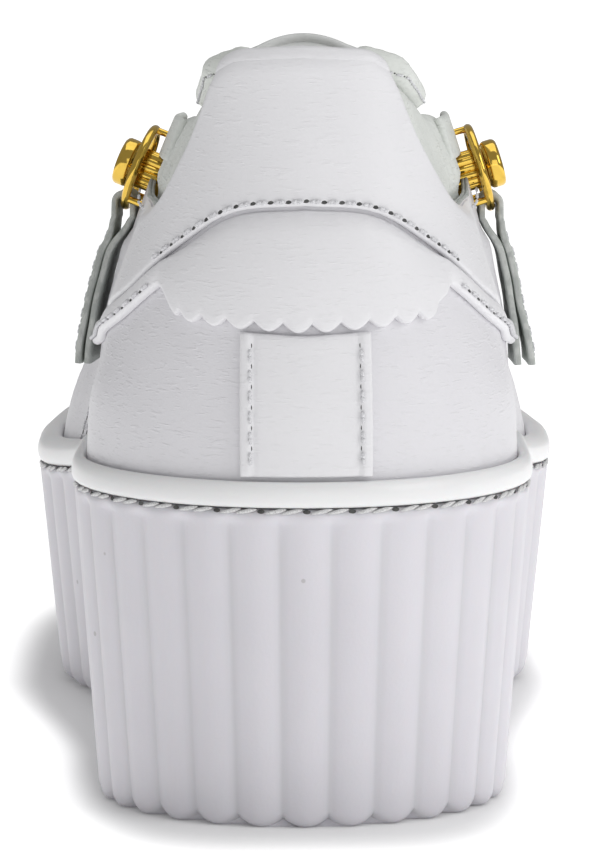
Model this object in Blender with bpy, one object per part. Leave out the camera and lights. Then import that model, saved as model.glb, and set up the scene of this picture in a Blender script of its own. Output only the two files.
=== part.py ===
"""A left platform sneaker: ribbed platform, hollow upper, padded collar, gilt side links and hanging straps.

Metres, +Z up, +Y towards the toe and +X towards the medial side. The origin lies on the ground, in the
middle of the heel tread. A place on the upper is given by q, which runs once round the outline from the
back of the heel by the medial side, and v, which runs from the sole up to the top line.
"""

import math

import bmesh
import bpy
import numpy as np
from mathutils import Matrix, Vector

# Platform sole
SOLE_LENGTH = 0.262
HEEL_WIDTH = 0.078
BALL_WIDTH = 0.0985
TREAD_TO_BACK = 0.039
PLATFORM_HEEL = 0.0538
PLATFORM_BALL = 0.0418
PLATFORM_TOE = 0.0423
TOE_SPRING = 0.0100
ARCH_RISE = 0.0018
ARCH_MIDDLE = 0.455
ARCH_REACH = 0.085
SPRING_FROM = 0.74
SPRING_CURVE = 1.6
WALL_DRAFT = 0.0042
TOE_CAP = 0.34
TOE_SQUARENESS = 2.3

# Ribs of the sole's side and grooves of its tread
RIB_COUNT = 70
RIB_STEPS = 3
RIB_DEPTH = 0.0014
HEM_RISE = 0.0013
SHOULDER = 0.0010
HEM_FLAT = 0.0045
GROOVE_DEPTH = 0.0018
GROOVE_WIDTH = 0.0035
GROOVE_PITCH = 0.0125
GROOVE_MARGIN = 0.0130
HEEL_GROOVES = 5
BALL_GROOVES = 6
BALL_TREAD = 0.1235

# Welt roll round the foot of the upper
LIP_WIDTH_HEEL = 0.0024
LIP_WIDTH_TOE = 0.0040
LIP_HEIGHT_HEEL = 0.0043
LIP_HEIGHT_TOE = 0.0054

# Upper
UPPER_WALL = 0.0022
GAP = 0.0003
TAB_RISE = 0.0755
BASE_LEAN = 0.0012
LEAN_ENDS = 0.45
LIP_GROWS_TO = 0.6

# Pieces laid on the upper
OVERLAY = 0.0011
PATCH_LOBES = 10
LOBE_DEPTH = 0.0014
STAY_WIDTH = 0.0228
STAY_THICKNESS = 0.0011
BAND_WIDTH = 0.0042
PATCH_BLEND = 0.021
PANEL_TOP_DROP = 0.012
PANEL_LEAST = 0.010

# Collar, tongue and insole
BAND_PADDING = 0.0042
ROLL_RADIUS = 0.0026
ROLL_SIDES = 8
TONGUE_THICKNESS = 0.0040
TONGUE_HALF_WIDTH = 0.0190
TONGUE_RISE = 0.0735
INSOLE_THICKNESS = 0.0040
INSOLE_CLEARANCE = 0.0012
INSOLE_ROUNDING = ((0.0012, 0.0), (0.0, 0.4), (0.0006, 1.0))
BAND_CLEARANCE = 0.0004
TONGUE_EDGE_THINNING = 0.45

# Ring links and hanging straps
LINK_RADIUS = 0.0072
WIRE_RADIUS = 0.0008
LINK_RISE = 0.0500
LINK_SLACK = 0.0008
POST_RADIUS = 0.0006
MIDDLE_BAR_RADIUS = 0.0005
BARREL_REACH = 0.0010
POST_TURN = math.radians(41)
SKIVED_OUTSIDE = 0.0009
SKIVED_LEATHER = 0.0012
STRAP_LAYER = 0.0011
BARREL_RADIUS = 0.0020
KNOB_RADIUS = 0.0045
KNOB_LENGTH = 0.0035
STRAP_LENGTH = 0.0275
STRAP_TOP_WIDTH = 0.0070
STRAP_FOOT_WIDTH = 0.0150
SKIVED_REACH = 2.3
SKIVED_BLEND = 0.0030
HOLE_EASE = 1.15
KNOB_ROUNDING = 0.0006

SIDES = (("medial", 1), ("lateral", -1))

# Sole outline: share of the length, centre line as a share of the ball width, and how much of the half
# width comes from the heel width and from the ball width.
OUTLINE = (
    # along, centre, of_heel, of_ball
    (0.00, 0.000, 1.00, 0.00),
    (0.15, 0.004, 1.00, 0.00),
    (0.28, 0.017, 0.80, 0.155),
    (0.40, 0.025, 0.55, 0.326),
    (0.50, 0.022, 0.25, 0.660),
    (0.59, 0.024, 0.00, 0.985),
    (0.66, 0.029, 0.00, 1.00),
    (0.82, 0.036, 0.00, 1.00),
    (1.00, 0.042, 0.00, 1.00),
)

# Height of the platform's top along its length, as shares of the named heights.
PROFILE = (
    # along, heel_top, ball_top, toe_top
    (0.00, 1.00, 0.00, 0.00),
    (0.18, 1.00, 0.00, 0.00),
    (0.32, 0.84, 0.16, 0.00),
    (0.45, 0.42, 0.56, 0.00),
    (0.56, 0.09, 0.90, 0.00),
    (0.66, 0.00, 0.99, 0.00),
    (0.74, 0.00, 0.97, 0.00),
    (0.86, 0.00, 0.30, 0.69),
    (1.00, 0.00, 0.00, 1.00),
)

# The form of the upper: w is the share of the way round one side, from the heel to the toe.
FORM = (
    # w, top_along, top_half, top_rise, base_out, base_up, top_out, top_down, top_shift
    (0.000, 0.032, 0.000, 1.008, 0.10, 0.30, 0.18, 0.30, -0.006),
    (0.025, 0.035, 0.131, 1.008, 0.11, 0.30, 0.19, 0.30, -0.006),
    (0.050, 0.044, 0.245, 1.006, 0.12, 0.30, 0.20, 0.30, -0.005),
    (0.090, 0.068, 0.330, 0.988, 0.14, 0.30, 0.28, 0.34, 0.000),
    (0.155, 0.118, 0.375, 0.945, 0.13, 0.28, 0.38, 0.42, 0.010),
    (0.240, 0.200, 0.410, 0.893, 0.09, 0.27, 0.56, 0.46, 0.015),
    (0.330, 0.300, 0.480, 0.834, 0.07, 0.28, 1.00, 0.46, 0.018),
    (0.410, 0.372, 0.560, 0.540, 0.02, 0.34, 0.62, 0.30, 0.028),
    (0.545, 0.452, 0.430, 0.462, -0.04, 0.38, 0.40, 0.12, 0.032),
    (0.670, 0.516, 0.330, 0.395, -0.03, 0.56, 0.48, 0.14, 0.026),
    (0.810, 0.556, 0.205, 0.355, 0.00, 0.80, 0.56, 0.20, 0.014),
    (1.000, 0.572, 0.000, 0.330, 0.03, 0.92, 0.60, 0.26, 0.000),
)

# Height of the quarter's top edge above the platform, as a share of the tab's rise.
EDGE = (
    # w, rise
    (0.000, 0.996),
    (0.048, 0.996),
    (0.062, 0.945),
    (0.078, 0.866),
    (0.095, 0.788),
    (0.120, 0.700),
    (0.155, 0.642),
    (0.200, 0.622),
    (0.245, 0.618),
    (0.290, 0.626),
    (0.322, 0.645),
    (0.334, 0.618),
    (0.346, 0.560),
    (0.362, 0.535),
    (0.390, 0.528),
    (0.410, 0.520),
)
EDGE_ENDS = 0.410

# Columns of the upper's mesh: the end of each stretch in w and its number of steps.
STRETCHES = ((0.160, 10), (0.270, 5), (0.390, 8), (1.000, 14))

UPPER_ROWS = 7

# Lower edge of the tab panel, top edge of the patch and band, and the patch's cusps.
PANEL_FOOT = (
    # w, rise
    (0.000, 0.656),
    (0.040, 0.642),
    (0.080, 0.574),
    (0.110, 0.516),
    (0.145, 0.449),
    (0.200, 0.389),
    (0.262, 0.345),
)
WING_TOP = (
    # w, rise
    (0.000, 0.648),
    (0.040, 0.634),
    (0.080, 0.566),
    (0.110, 0.508),
    (0.145, 0.441),
    (0.200, 0.381),
    (0.285, 0.325),
)
CUSPS = (
    # w, rise
    (0.000, 0.400),
    (0.050, 0.412),
    (0.101, 0.430),
)
PATCH_ENDS = 0.080
WINGS_END = 0.285
PANEL_ENDS = 0.262
BAND_FOOT = 0.480
COLLAR_ENDS = 0.298
# Where the collar roll comes out to the form's line, above the quarter's edge.
ROLL_FORWARD_W = (0.085, 0.115, 0.235, 0.262)
ROLL_FORWARD_SHARE = (0.0, 1.0, 1.0, 0.0)
LINK_W = 0.330
TAB_FROM = 0.272
TAB_TO = 0.352
TAB_FOOT_RISE = 0.705
TAB_TOP_RISE = 0.805

# Tongue: share of the length, height of its middle as a share of its rise, width and drop at its edges.
TONGUE = (
    # along, rise, width, drop, shift
    (0.645, 0.185, 0.78, 0.0065, 0.018),
    (0.590, 0.262, 0.88, 0.0080, 0.026),
    (0.540, 0.355, 0.96, 0.0100, 0.030),
    (0.490, 0.478, 0.98, 0.0125, 0.030),
    (0.445, 0.640, 0.96, 0.0140, 0.026),
    (0.412, 0.830, 0.98, 0.0130, 0.014),
    (0.392, 1.000, 0.88, 0.0105, 0.000),
)

# Sections of a hanging strap: its height above the wire, in sags of the wire, in loop radii and in strap
# lengths below it, and its half thickness in loop radii.
STRAP_SECTIONS = (
    # sags, loops, lengths, thick
    (1.0, 1.00, 0.00, 0.45),
    (1.0, 0.72, 0.00, 0.86),
    (0.0, 0.00, 0.00, 1.00),
    (0.0, -1.20, 0.00, 0.90),
    (0.0, 0.00, 0.25, 0.70),
    (0.0, 0.00, 0.50, 0.66),
    (0.0, 0.00, 0.75, 0.66),
    (0.0, 0.00, 1.00, 0.66),
)

# Cross-section of the welt roll: share of its width from the upper outwards, and share of its height.
ROLL_SECTION = (
    # out, up
    (0.00, 0.00),
    (0.80, 0.00),
    (1.00, 0.24),
    (1.00, 0.62),
    (0.74, 0.92),
    (0.30, 1.00),
    (0.00, 0.94),
)

# Rows of the platform's wall from its top to its hem.
WALL_ROWS = (
    # down, shoulder, ribs, hem
    (0.00, 1.0, 0.0, 0.0),
    (0.03, 0.0, 0.0, 0.0),
    (0.10, 0.0, 1.0, 0.0),
    (0.52, 0.0, 1.0, 0.0),
    (0.94, 0.0, 1.0, 0.3),
    (1.00, 0.5, 1.0, 1.0),
)

WHITE_LEATHER = ("white_leather", (0.83, 0.84, 0.85), 0.45, 0.0)
FINISHES = {
    "platform_sole": ("sole_rubber", (0.80, 0.79, 0.83), 0.45, 0.0),
    "welt_roll": ("welt_rubber", (0.90, 0.89, 0.88), 0.40, 0.0),
    "upper": WHITE_LEATHER,
    "heel_stay": ("stay_leather", (0.84, 0.85, 0.86), 0.45, 0.0),
    "counter_patch": ("patch_leather", (0.86, 0.87, 0.88), 0.42, 0.0),
    "tab_panel": ("tab_leather", (0.85, 0.86, 0.87), 0.42, 0.0),
    "collar_band": ("band_lining", (0.78, 0.80, 0.76), 0.60, 0.0),
    "collar_roll": ("collar_leather", (0.84, 0.86, 0.82), 0.55, 0.0),
    "tongue": ("tongue_leather", (0.84, 0.85, 0.84), 0.50, 0.0),
    "insole": ("insole_leather", (0.82, 0.81, 0.78), 0.60, 0.0),
    "collar_tab": ("loop_leather", (0.80, 0.82, 0.78), 0.55, 0.0),
    "ring_link": ("gilt_metal", (0.86, 0.66, 0.32), 0.14, 1.0),
    "knob": ("gilt_knob", (0.86, 0.66, 0.32), 0.14, 1.0),
    "side_strap": ("strap_leather", (0.76, 0.78, 0.76), 0.60, 0.0),
}


def clear_scene():
    """Remove every object, and the meshes that they leave behind."""
    for item in list(bpy.data.objects):
        bpy.data.objects.remove(item, do_unlink=True)
    for mesh in list(bpy.data.meshes):
        bpy.data.meshes.remove(mesh)


def material_for(piece, name):
    """Make the material of one object from its piece's finish."""
    label, colour, roughness, metallic = FINISHES[piece]
    material = bpy.data.materials.new(label + "_" + name)
    material.use_nodes = True
    shader = material.node_tree.nodes["Principled BSDF"]
    shader.inputs["Base Color"].default_value = (*colour, 1.0)
    shader.inputs["Roughness"].default_value = roughness
    shader.inputs["Metallic"].default_value = metallic
    return material


def make_object(name, bm, piece=None):
    """Turn a closed bmesh into a smooth-shaded object with its own material."""
    bmesh.ops.recalc_face_normals(bm, faces=bm.faces)
    mesh = bpy.data.meshes.new(name)
    bm.to_mesh(mesh)
    bm.free()
    mesh.shade_smooth()
    mesh.set_sharp_from_angle(angle=math.radians(40))
    item = bpy.data.objects.new(name, mesh)
    bpy.context.scene.collection.objects.link(item)
    mesh.materials.append(material_for(piece or name, name))
    return item


def smooth(table, at):
    """Read a table at the given places of its first column, on one smooth curve through its rows."""
    rows = np.array(table, float)
    keys = rows[:, 0]
    values = rows[:, 1:]
    slopes = np.gradient(values, keys, axis=0)
    at = np.clip(np.atleast_1d(np.asarray(at, float)), keys[0], keys[-1])
    index = np.clip(np.searchsorted(keys, at, side="right") - 1, 0, len(keys) - 2)
    width = (keys[index + 1] - keys[index])[:, None]
    t = (at - keys[index])[:, None] / width
    low = values[index]
    high = values[index + 1]
    start = slopes[index] * width
    end = slopes[index + 1] * width
    bend = (2 * t**3 - 3 * t**2 + 1) * low + (-2 * t**3 + 3 * t**2) * high
    return bend + (t**3 - 2 * t**2 + t) * start + (t**3 - t**2) * end


def mirrored(table, odd):
    """Carry a table past both its ends, so that the two sides of the shoe join smoothly."""
    rows = np.array(table, float)
    flip = np.ones(rows.shape[1])
    flip[list(odd)] = -1
    before = rows[1:3][::-1] * flip
    before[:, 0] = -rows[1:3, 0][::-1]
    after = rows[-3:-1][::-1] * flip
    after[:, 0] = 2 - rows[-3:-1, 0][::-1]
    return np.vstack((before, rows, after))


FORM_ROUND = mirrored(FORM, (2,))


def along_to_y(along):
    """Y of a place along the sole."""
    return np.asarray(along) * SOLE_LENGTH - TREAD_TO_BACK


def centre_line(along):
    """X of the middle of the sole."""
    return smooth(OUTLINE, along)[:, 0] * BALL_WIDTH


def platform_top(along):
    """Height of the platform's top."""
    rows = smooth(PROFILE, along)
    return rows[:, 0] * PLATFORM_HEEL + rows[:, 1] * PLATFORM_BALL + rows[:, 2] * PLATFORM_TOE


def platform_foot(along):
    """Height of the platform's underside: flat at heel and ball, raised at the arch and the toe."""
    along = np.atleast_1d(along)
    arch = np.clip(1 - np.abs(along - ARCH_MIDDLE) / ARCH_REACH, 0, 1)
    spring = np.clip((along - SPRING_FROM) / (1 - SPRING_FROM), 0, 1)
    return ARCH_RISE * np.sin(arch * math.pi / 2) ** 2 + TOE_SPRING * spring**SPRING_CURVE


def outline_ring(count=1440):
    """The sole's outline as a dense closed ring: columns x, y, along, normal x and normal y."""
    half_count = count // 2
    turn = np.linspace(0, math.pi, 4 * half_count + 1)
    along = (1 - np.cos(turn)) / 2
    rows = smooth(OUTLINE, along)
    half = rows[:, 1] * HEEL_WIDTH / 2 + rows[:, 2] * BALL_WIDTH / 2
    heel_cap = HEEL_WIDTH / 2 / SOLE_LENGTH
    heel = np.clip((heel_cap - along) / heel_cap, 0, 1)
    toe = np.clip((along - 1 + TOE_CAP) / TOE_CAP, 0, 1)
    half = half * np.sqrt(1 - heel**2) * (1 - toe**TOE_SQUARENESS) ** (1 / TOE_SQUARENESS)
    middle = rows[:, 0] * BALL_WIDTH
    sides = []
    for _, sign in SIDES:
        points = np.column_stack((middle + sign * half, along_to_y(along)))
        steps = np.linalg.norm(np.diff(points, axis=0), axis=1)
        walked = np.concatenate(([0], np.cumsum(steps)))
        share = np.linspace(0, 1, half_count + 1) * walked[-1]
        columns = [np.interp(share, walked, values) for values in (points[:, 0], points[:, 1], along)]
        sides.append(np.column_stack(columns))
    ring = np.vstack((sides[0][:-1], sides[1][::-1][:-1]))
    ahead = np.roll(ring[:, :2], -6, axis=0)
    behind = np.roll(ring[:, :2], 6, axis=0)
    tangent = ahead - behind
    tangent /= np.linalg.norm(tangent, axis=1)[:, None]
    return np.column_stack((ring, tangent[:, 1], -tangent[:, 0]))


RING = outline_ring()
RING_LENGTH = float(np.linalg.norm(np.diff(RING[:, :2], axis=0), axis=1).sum())


def outline(q):
    """Read the outline ring at places q."""
    q = np.mod(np.atleast_1d(q), 1.0) * len(RING)
    low = np.floor(q).astype(int) % len(RING)
    share = (q - np.floor(q))[:, None]
    return RING[low] * (1 - share) + RING[(low + 1) % len(RING)] * share


def side_share(q):
    """The share w of the way along one side, and the side's sign, for places q."""
    q = np.mod(np.atleast_1d(q), 1.0)
    return 1 - np.abs(1 - 2 * q), np.where(q < 0.5, 1.0, -1.0)


def q_of(w, sign):
    """The place q of a share w along the side with this sign."""
    return w / 2 if sign > 0 else -w / 2


def lip_width(along):
    """Width that the welt roll takes between the platform's edge and the upper."""
    return LIP_WIDTH_HEEL + (LIP_WIDTH_TOE - LIP_WIDTH_HEEL) * np.clip(along / LIP_GROWS_TO, 0, 1)


def lip_height(along):
    """Height of the welt roll."""
    return LIP_HEIGHT_HEEL + (LIP_HEIGHT_TOE - LIP_HEIGHT_HEEL) * np.clip(along / LIP_GROWS_TO, 0, 1)


def form(q, v):
    """Points of the upper's outer form: one rising curve for each q, from the sole to the top line."""
    q = np.atleast_1d(q)
    v = np.broadcast_to(v, q.shape)
    place = outline(q)
    w, sign = side_share(q)
    along = place[:, 2]
    row = smooth(FORM_ROUND, w)
    inset = lip_width(along)
    base = np.column_stack(
        (place[:, 0] - place[:, 3] * inset, place[:, 1] - place[:, 4] * inset, platform_top(along) + GAP)
    )
    top_along = row[:, 0]
    top = np.column_stack(
        (
            centre_line(top_along) + (row[:, 7] + sign * row[:, 1] / 2) * BALL_WIDTH,
            along_to_y(top_along),
            PLATFORM_HEEL + row[:, 2] * TAB_RISE,
        )
    )
    height = top[:, 2] - base[:, 2]
    inward = base[:, :2] - top[:, :2]
    lean = row[:, 3] * np.linalg.norm(inward, axis=1) + BASE_LEAN * (w < LEAN_ENDS)
    lower = base.copy()
    lower[:, :2] += place[:, 3:5] * lean[:, None]
    lower[:, 2] += row[:, 4] * height
    upper = top.copy()
    upper[:, :2] += inward * row[:, 5][:, None]
    upper[:, 2] -= row[:, 6] * height
    t = v[:, None]
    return (1 - t) ** 3 * base + 3 * (1 - t) ** 2 * t * lower + 3 * (1 - t) * t**2 * upper + t**3 * top


def form_normal(q, v):
    """Outward normals of the form."""
    q = np.atleast_1d(q)
    v = np.clip(np.broadcast_to(v, q.shape), 0.002, 0.998)
    across = form(q + 0.0015, v) - form(q - 0.0015, v)
    rise = form(q, v + 0.002) - form(q, v - 0.002)
    normal = np.cross(across, rise)
    return normal / np.linalg.norm(normal, axis=1)[:, None]


def v_at_height(q, height):
    """The place v where each column of the form passes a height."""
    q = np.atleast_1d(q)
    low = np.zeros(q.shape)
    high = np.ones(q.shape)
    for _ in range(26):
        middle = (low + high) / 2
        under = form(q, middle)[:, 2] < height
        low = np.where(under, middle, low)
        high = np.where(under, high, middle)
    return (low + high) / 2


def v_at_rise(q, rise):
    """The place v where each column reaches a share of the tab's rise above the platform."""
    return v_at_height(q, PLATFORM_HEEL + np.asarray(rise) * TAB_RISE)


def edge_v(q):
    """The place v of the quarter's top edge. Forward of the links it is the end of the form."""
    w, _ = side_share(q)
    found = v_at_rise(q, smooth(EDGE, w)[:, 0])
    return np.where(w < EDGE_ENDS - 0.001, np.minimum(found, 1.0), 1.0)


def rise_from(table, q):
    """Read a table of rises at places q, the same on both sides."""
    w, _ = side_share(q)
    return smooth(table, w)[:, 0]


def side_columns():
    """Shares w of the upper's mesh columns, close together at the heel and at the links."""
    columns = [0.0]
    for end, steps in STRETCHES:
        start = columns[-1]
        columns += [start + (end - start) * step / steps for step in range(1, steps + 1)]
    return np.array(columns)


def ring_columns():
    """Places q of the upper's mesh columns, once round the shoe."""
    side = side_columns()
    return np.concatenate((side / 2, 1 - side[-2:0:-1] / 2))


def collar_columns(ends):
    """Places q of the upper's mesh columns round the heel, as far as a share of each side."""
    places = np.concatenate((-side_columns()[::-1], side_columns()[1:])) / 2
    return places[np.abs(places) < ends / 2]


def columns_between(end, steps):
    """Places q from the lateral side, round the heel, to the medial side."""
    return np.linspace(-end / 2, end / 2, steps + 1)


def link_skiving(points, q):
    """How far each point lies in the thinned leather that passes between a link's two rings."""
    w, _ = side_share(q)
    aside = np.abs(w - LINK_W) * RING_LENGTH / 2
    near = np.clip(SKIVED_REACH - aside / (LINK_RADIUS + WIRE_RADIUS), 0, 1)
    foot = PLATFORM_HEEL + LINK_RISE - LINK_RADIUS - 3 * WIRE_RADIUS
    high = np.clip((points[:, 2] - foot) / SKIVED_BLEND + 1, 0, 1)
    return near * high


def close_grid(bm, outer, inner, ring):
    """Join two grids of points, outer and inner, into one closed wall."""
    layers = []
    for grid in (outer, inner):
        layers.append([[bm.verts.new(point) for point in column] for column in grid])
    count = len(outer)
    spans = count if ring else count - 1
    for index in range(spans):
        here = index
        there = (index + 1) % count
        for first, second in ((layers[0], 1), (layers[1], -1)):
            for row in range(len(first[0]) - 1):
                corners = [first[here][row], first[there][row], first[there][row + 1], first[here][row + 1]]
                bm.faces.new(corners[::second])
        for row in (0, -1):
            bm.faces.new(
                [layers[0][here][row], layers[0][there][row], layers[1][there][row], layers[1][here][row]]
            )
    if not ring:
        for column in (0, -1):
            for row in range(len(outer[0]) - 1):
                bm.faces.new(
                    [
                        layers[0][column][row],
                        layers[0][column][row + 1],
                        layers[1][column][row + 1],
                        layers[1][column][row],
                    ]
                )


def skin_grid(q, v_low, v_high, steps, offset, skive=None):
    """Points of the form between two edges, moved out along its normal."""
    grid = []
    for row in range(steps + 1):
        v = v_low + (v_high - v_low) * row / steps
        points = form(q, v)
        shift = np.full(len(q), offset)
        if skive is not None:
            thinned = link_skiving(points, q)
            shift = shift * (1 - thinned) + skive * thinned
        grid.append(points + form_normal(q, v) * shift[:, None])
    return np.stack(grid, axis=1)


def skin(name, q, v_low, v_high, steps, inner, outer, piece=None):
    """A piece cut from the form between two edges and two offsets."""
    bm = bmesh.new()
    outside = skin_grid(q, v_low, v_high, steps, outer)
    inside = skin_grid(q, v_low, v_high, steps, inner)
    close_grid(bm, outside, inside, ring=False)
    return make_object(name, bm, piece)


def cap_between(bm, ring):
    """Close a ring of vertices with strips from its medial to its lateral half."""
    count = len(ring)
    for index in range(count // 2):
        corners = [ring[index], ring[index + 1], ring[(-index - 1) % count], ring[-index % count]]
        distinct = list(dict.fromkeys(corners))
        if len(distinct) > 2:
            bm.faces.new(distinct)


def lofted(bm, rings):
    """Join a stack of equal rings of points and close both ends."""
    stack = [[bm.verts.new(point) for point in ring] for ring in rings]
    count = len(stack[0])
    for lower, upper in zip(stack, stack[1:]):
        for index in range(count):
            there = (index + 1) % count
            bm.faces.new([lower[index], lower[there], upper[there], upper[index]])
    cap_between(bm, stack[0])
    cap_between(bm, stack[-1])


def box_mesh(bm, centre, size):
    """Add a box to a bmesh."""
    place = Matrix.Translation(centre) @ Matrix.Diagonal((*size, 1))
    bmesh.ops.create_cube(bm, size=1, matrix=place)


def cut(item, cutter):
    """Take a helper's shape out of an object."""
    cutter.hide_render = True
    cutter.display_type = "WIRE"
    boolean = item.modifiers.new("cut_" + cutter.name, "BOOLEAN")
    boolean.operation = "DIFFERENCE"
    boolean.solver = "EXACT"
    boolean.object = cutter


def helper(name, bm):
    """An object that only cuts or joins others."""
    bmesh.ops.recalc_face_normals(bm, faces=bm.faces)
    mesh = bpy.data.meshes.new(name)
    bm.to_mesh(mesh)
    bm.free()
    item = bpy.data.objects.new(name, mesh)
    bpy.context.scene.collection.objects.link(item)
    item.hide_render = True
    item.display_type = "WIRE"
    return item


def wall_ring(row, q, phase):
    """One ring of the platform's ribbed wall."""
    down, shoulder, ribs, hem = row
    place = outline(q)
    along = place[:, 2]
    valley = 1 - np.sin(phase * math.pi)
    foot = platform_foot(along)
    top = platform_top(along)
    inset = down * WALL_DRAFT + shoulder * SHOULDER + ribs * valley * RIB_DEPTH
    height = top + (foot - top) * down + hem * valley * HEM_RISE
    return np.column_stack((place[:, 0] - place[:, 3] * inset, place[:, 1] - place[:, 4] * inset, height))


def tread_bars(middle, count, first):
    """Grooves across the tread, kept clear of the middle of their group."""
    bm = bmesh.new()
    for index in range(count):
        y = middle + (index + first + 0.5) * GROOVE_PITCH
        along = (y + TREAD_TO_BACK) / SOLE_LENGTH
        close = RING[np.argsort(np.abs(RING[:, 1] - y))[:8], 0]
        left = close.min() + GROOVE_MARGIN
        right = close.max() - GROOVE_MARGIN
        foot = float(platform_foot(along)[0])
        size = (right - left, GROOVE_WIDTH, 2 * GROOVE_DEPTH)
        box_mesh(bm, Vector(((left + right) / 2, y, foot)), size)
    return bm


def make_sole():
    """The platform with its ribbed wall, shoulder, scalloped hem and grooved tread."""
    count = RIB_COUNT * RIB_STEPS
    q = np.arange(count) / count
    phase = np.mod(np.arange(count) / RIB_STEPS + 0.5, 1.0)
    rings = [wall_ring(row, q, phase) for row in WALL_ROWS]
    place = outline(q)
    inset = WALL_DRAFT + HEM_FLAT
    tread = np.column_stack(
        (place[:, 0] - place[:, 3] * inset, place[:, 1] - place[:, 4] * inset, platform_foot(place[:, 2]))
    )
    bm = bmesh.new()
    lofted(bm, rings + [tread])
    sole = make_object("platform_sole", bm)
    cut(sole, helper("heel_tread_cutter", tread_bars(0.0, HEEL_GROOVES, -2)))
    cut(sole, helper("ball_tread_cutter", tread_bars(BALL_TREAD, BALL_GROOVES, -3)))


def make_welt_roll(q):
    """The rounded welt that runs round the foot of the upper, on the platform's edge."""
    place = outline(q)
    along = place[:, 2]
    foot = platform_top(along) + GAP
    height = lip_height(along)
    columns = []
    for out, up in ROLL_SECTION:
        level = foot + up * height
        v = v_at_height(q, level)
        inside = form(q, v) + form_normal(q, v) * GAP
        inside[:, 2] = level
        points = inside.copy()
        points[:, :2] += (place[:, :2] - inside[:, :2]) * out
        columns.append(points)
    sections = np.stack(columns, axis=1)
    bm = bmesh.new()
    rows = [[bm.verts.new(point) for point in section] for section in sections]
    for index, section in enumerate(rows):
        following = rows[(index + 1) % len(rows)]
        for corner in range(len(section)):
            there = (corner + 1) % len(section)
            bm.faces.new([section[corner], following[corner], following[there], section[there]])
    make_object("welt_roll", bm)


def make_upper(q):
    """The hollow upper: one wall, open at the collar and throat and underneath."""
    bm = bmesh.new()
    low = np.zeros(len(q))
    high = edge_v(q)
    outside = skin_grid(q, low, high, UPPER_ROWS, 0.0, -SKIVED_OUTSIDE)
    inside = skin_grid(q, low, high, UPPER_ROWS, -UPPER_WALL, -SKIVED_OUTSIDE - SKIVED_LEATHER)
    seat = outside[:, 0, 2]
    inside[:, 0, 2] = seat
    inside[:, 1:, 2] = np.maximum(inside[:, 1:, 2], seat[:, None] + 0.001)
    close_grid(bm, outside, inside, ring=True)
    return make_object("upper", bm)


def make_tab_panel():
    """The smooth panel at the back of the collar, above its stitched arc."""
    q = collar_columns(PANEL_ENDS)
    low = v_at_rise(q, rise_from(PANEL_FOOT, q))
    high = edge_v(q) - PANEL_TOP_DROP
    skin("tab_panel", q, low, np.maximum(high, low + PANEL_LEAST), 3, GAP, GAP + OVERLAY)


def make_counter_patch():
    """The patch with the scalloped foot and, in one piece with it, the two bands that run forward."""
    lobe = 2 * PATCH_ENDS / PATCH_LOBES
    inner = columns_between(PATCH_ENDS, 3 * PATCH_LOBES)
    outer = np.linspace(PATCH_ENDS, WINGS_END, 9)[1:] / 2
    q = np.concatenate((-outer[::-1], inner, outer))
    w, _ = side_share(q)
    top = rise_from(WING_TOP, q)
    swing = np.abs(np.sin((2 * q / lobe) * math.pi + (PATCH_LOBES % 2) * math.pi / 2))
    scallop = rise_from(CUSPS, q) - swing * LOBE_DEPTH / TAB_RISE
    in_patch = np.clip((PATCH_ENDS - w) / PATCH_BLEND + 1, 0, 1)
    band = top - BAND_WIDTH / TAB_RISE
    foot = scallop * in_patch + band * (1 - in_patch)
    skin("counter_patch", q, v_at_rise(q, foot), v_at_rise(q, top), 2, GAP, GAP + OVERLAY)


def make_heel_stay():
    """The upright strip down the back, from the patch to the welt."""
    q = np.linspace(-STAY_WIDTH / 2, STAY_WIDTH / 2, 7) / RING_LENGTH
    foot = PLATFORM_HEEL + LIP_HEIGHT_HEEL + 4 * GAP
    low = v_at_height(q, foot)
    rise = rise_from(CUSPS, q) - (LOBE_DEPTH + 3 * GAP) / TAB_RISE
    skin("heel_stay", q, low, v_at_rise(q, rise), 5, GAP, GAP + STAY_THICKNESS)


def make_collar(q):
    """The padded band inside the quarters and the roll along its top."""
    outer = -UPPER_WALL - BAND_CLEARANCE
    low = v_at_rise(q, BAND_FOOT)
    top_height = form(q, 1.0)[:, 2] - 2 * ROLL_RADIUS - 4 * GAP
    high = v_at_height(q, top_height)
    skin("collar_band", q, low, high, 3, outer - BAND_PADDING, outer)
    normal = form_normal(q, 1.0)
    flat = normal.copy()
    flat[:, 2] = 0
    flat /= np.linalg.norm(flat, axis=1)[:, None]
    w, _ = side_share(q)
    forward = np.interp(w, ROLL_FORWARD_W, ROLL_FORWARD_SHARE)[:, None] * UPPER_WALL
    centre = form(q, 1.0) + flat * (outer - ROLL_RADIUS + forward)
    centre[:, 2] -= ROLL_RADIUS
    bm = bmesh.new()
    sections = []
    for index in range(len(q)):
        section = []
        for step in range(ROLL_SIDES):
            turn = 2 * math.pi * step / ROLL_SIDES
            reach = flat[index] * math.cos(turn) * ROLL_RADIUS
            section.append(bm.verts.new(centre[index] + reach + (0, 0, math.sin(turn) * ROLL_RADIUS)))
        sections.append(section)
    for here, there in zip(sections, sections[1:]):
        for step in range(ROLL_SIDES):
            ahead = (step + 1) % ROLL_SIDES
            bm.faces.new([here[step], there[step], there[ahead], here[ahead]])
    bm.faces.new(sections[0])
    bm.faces.new(sections[-1])
    make_object("collar_roll", bm)


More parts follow.
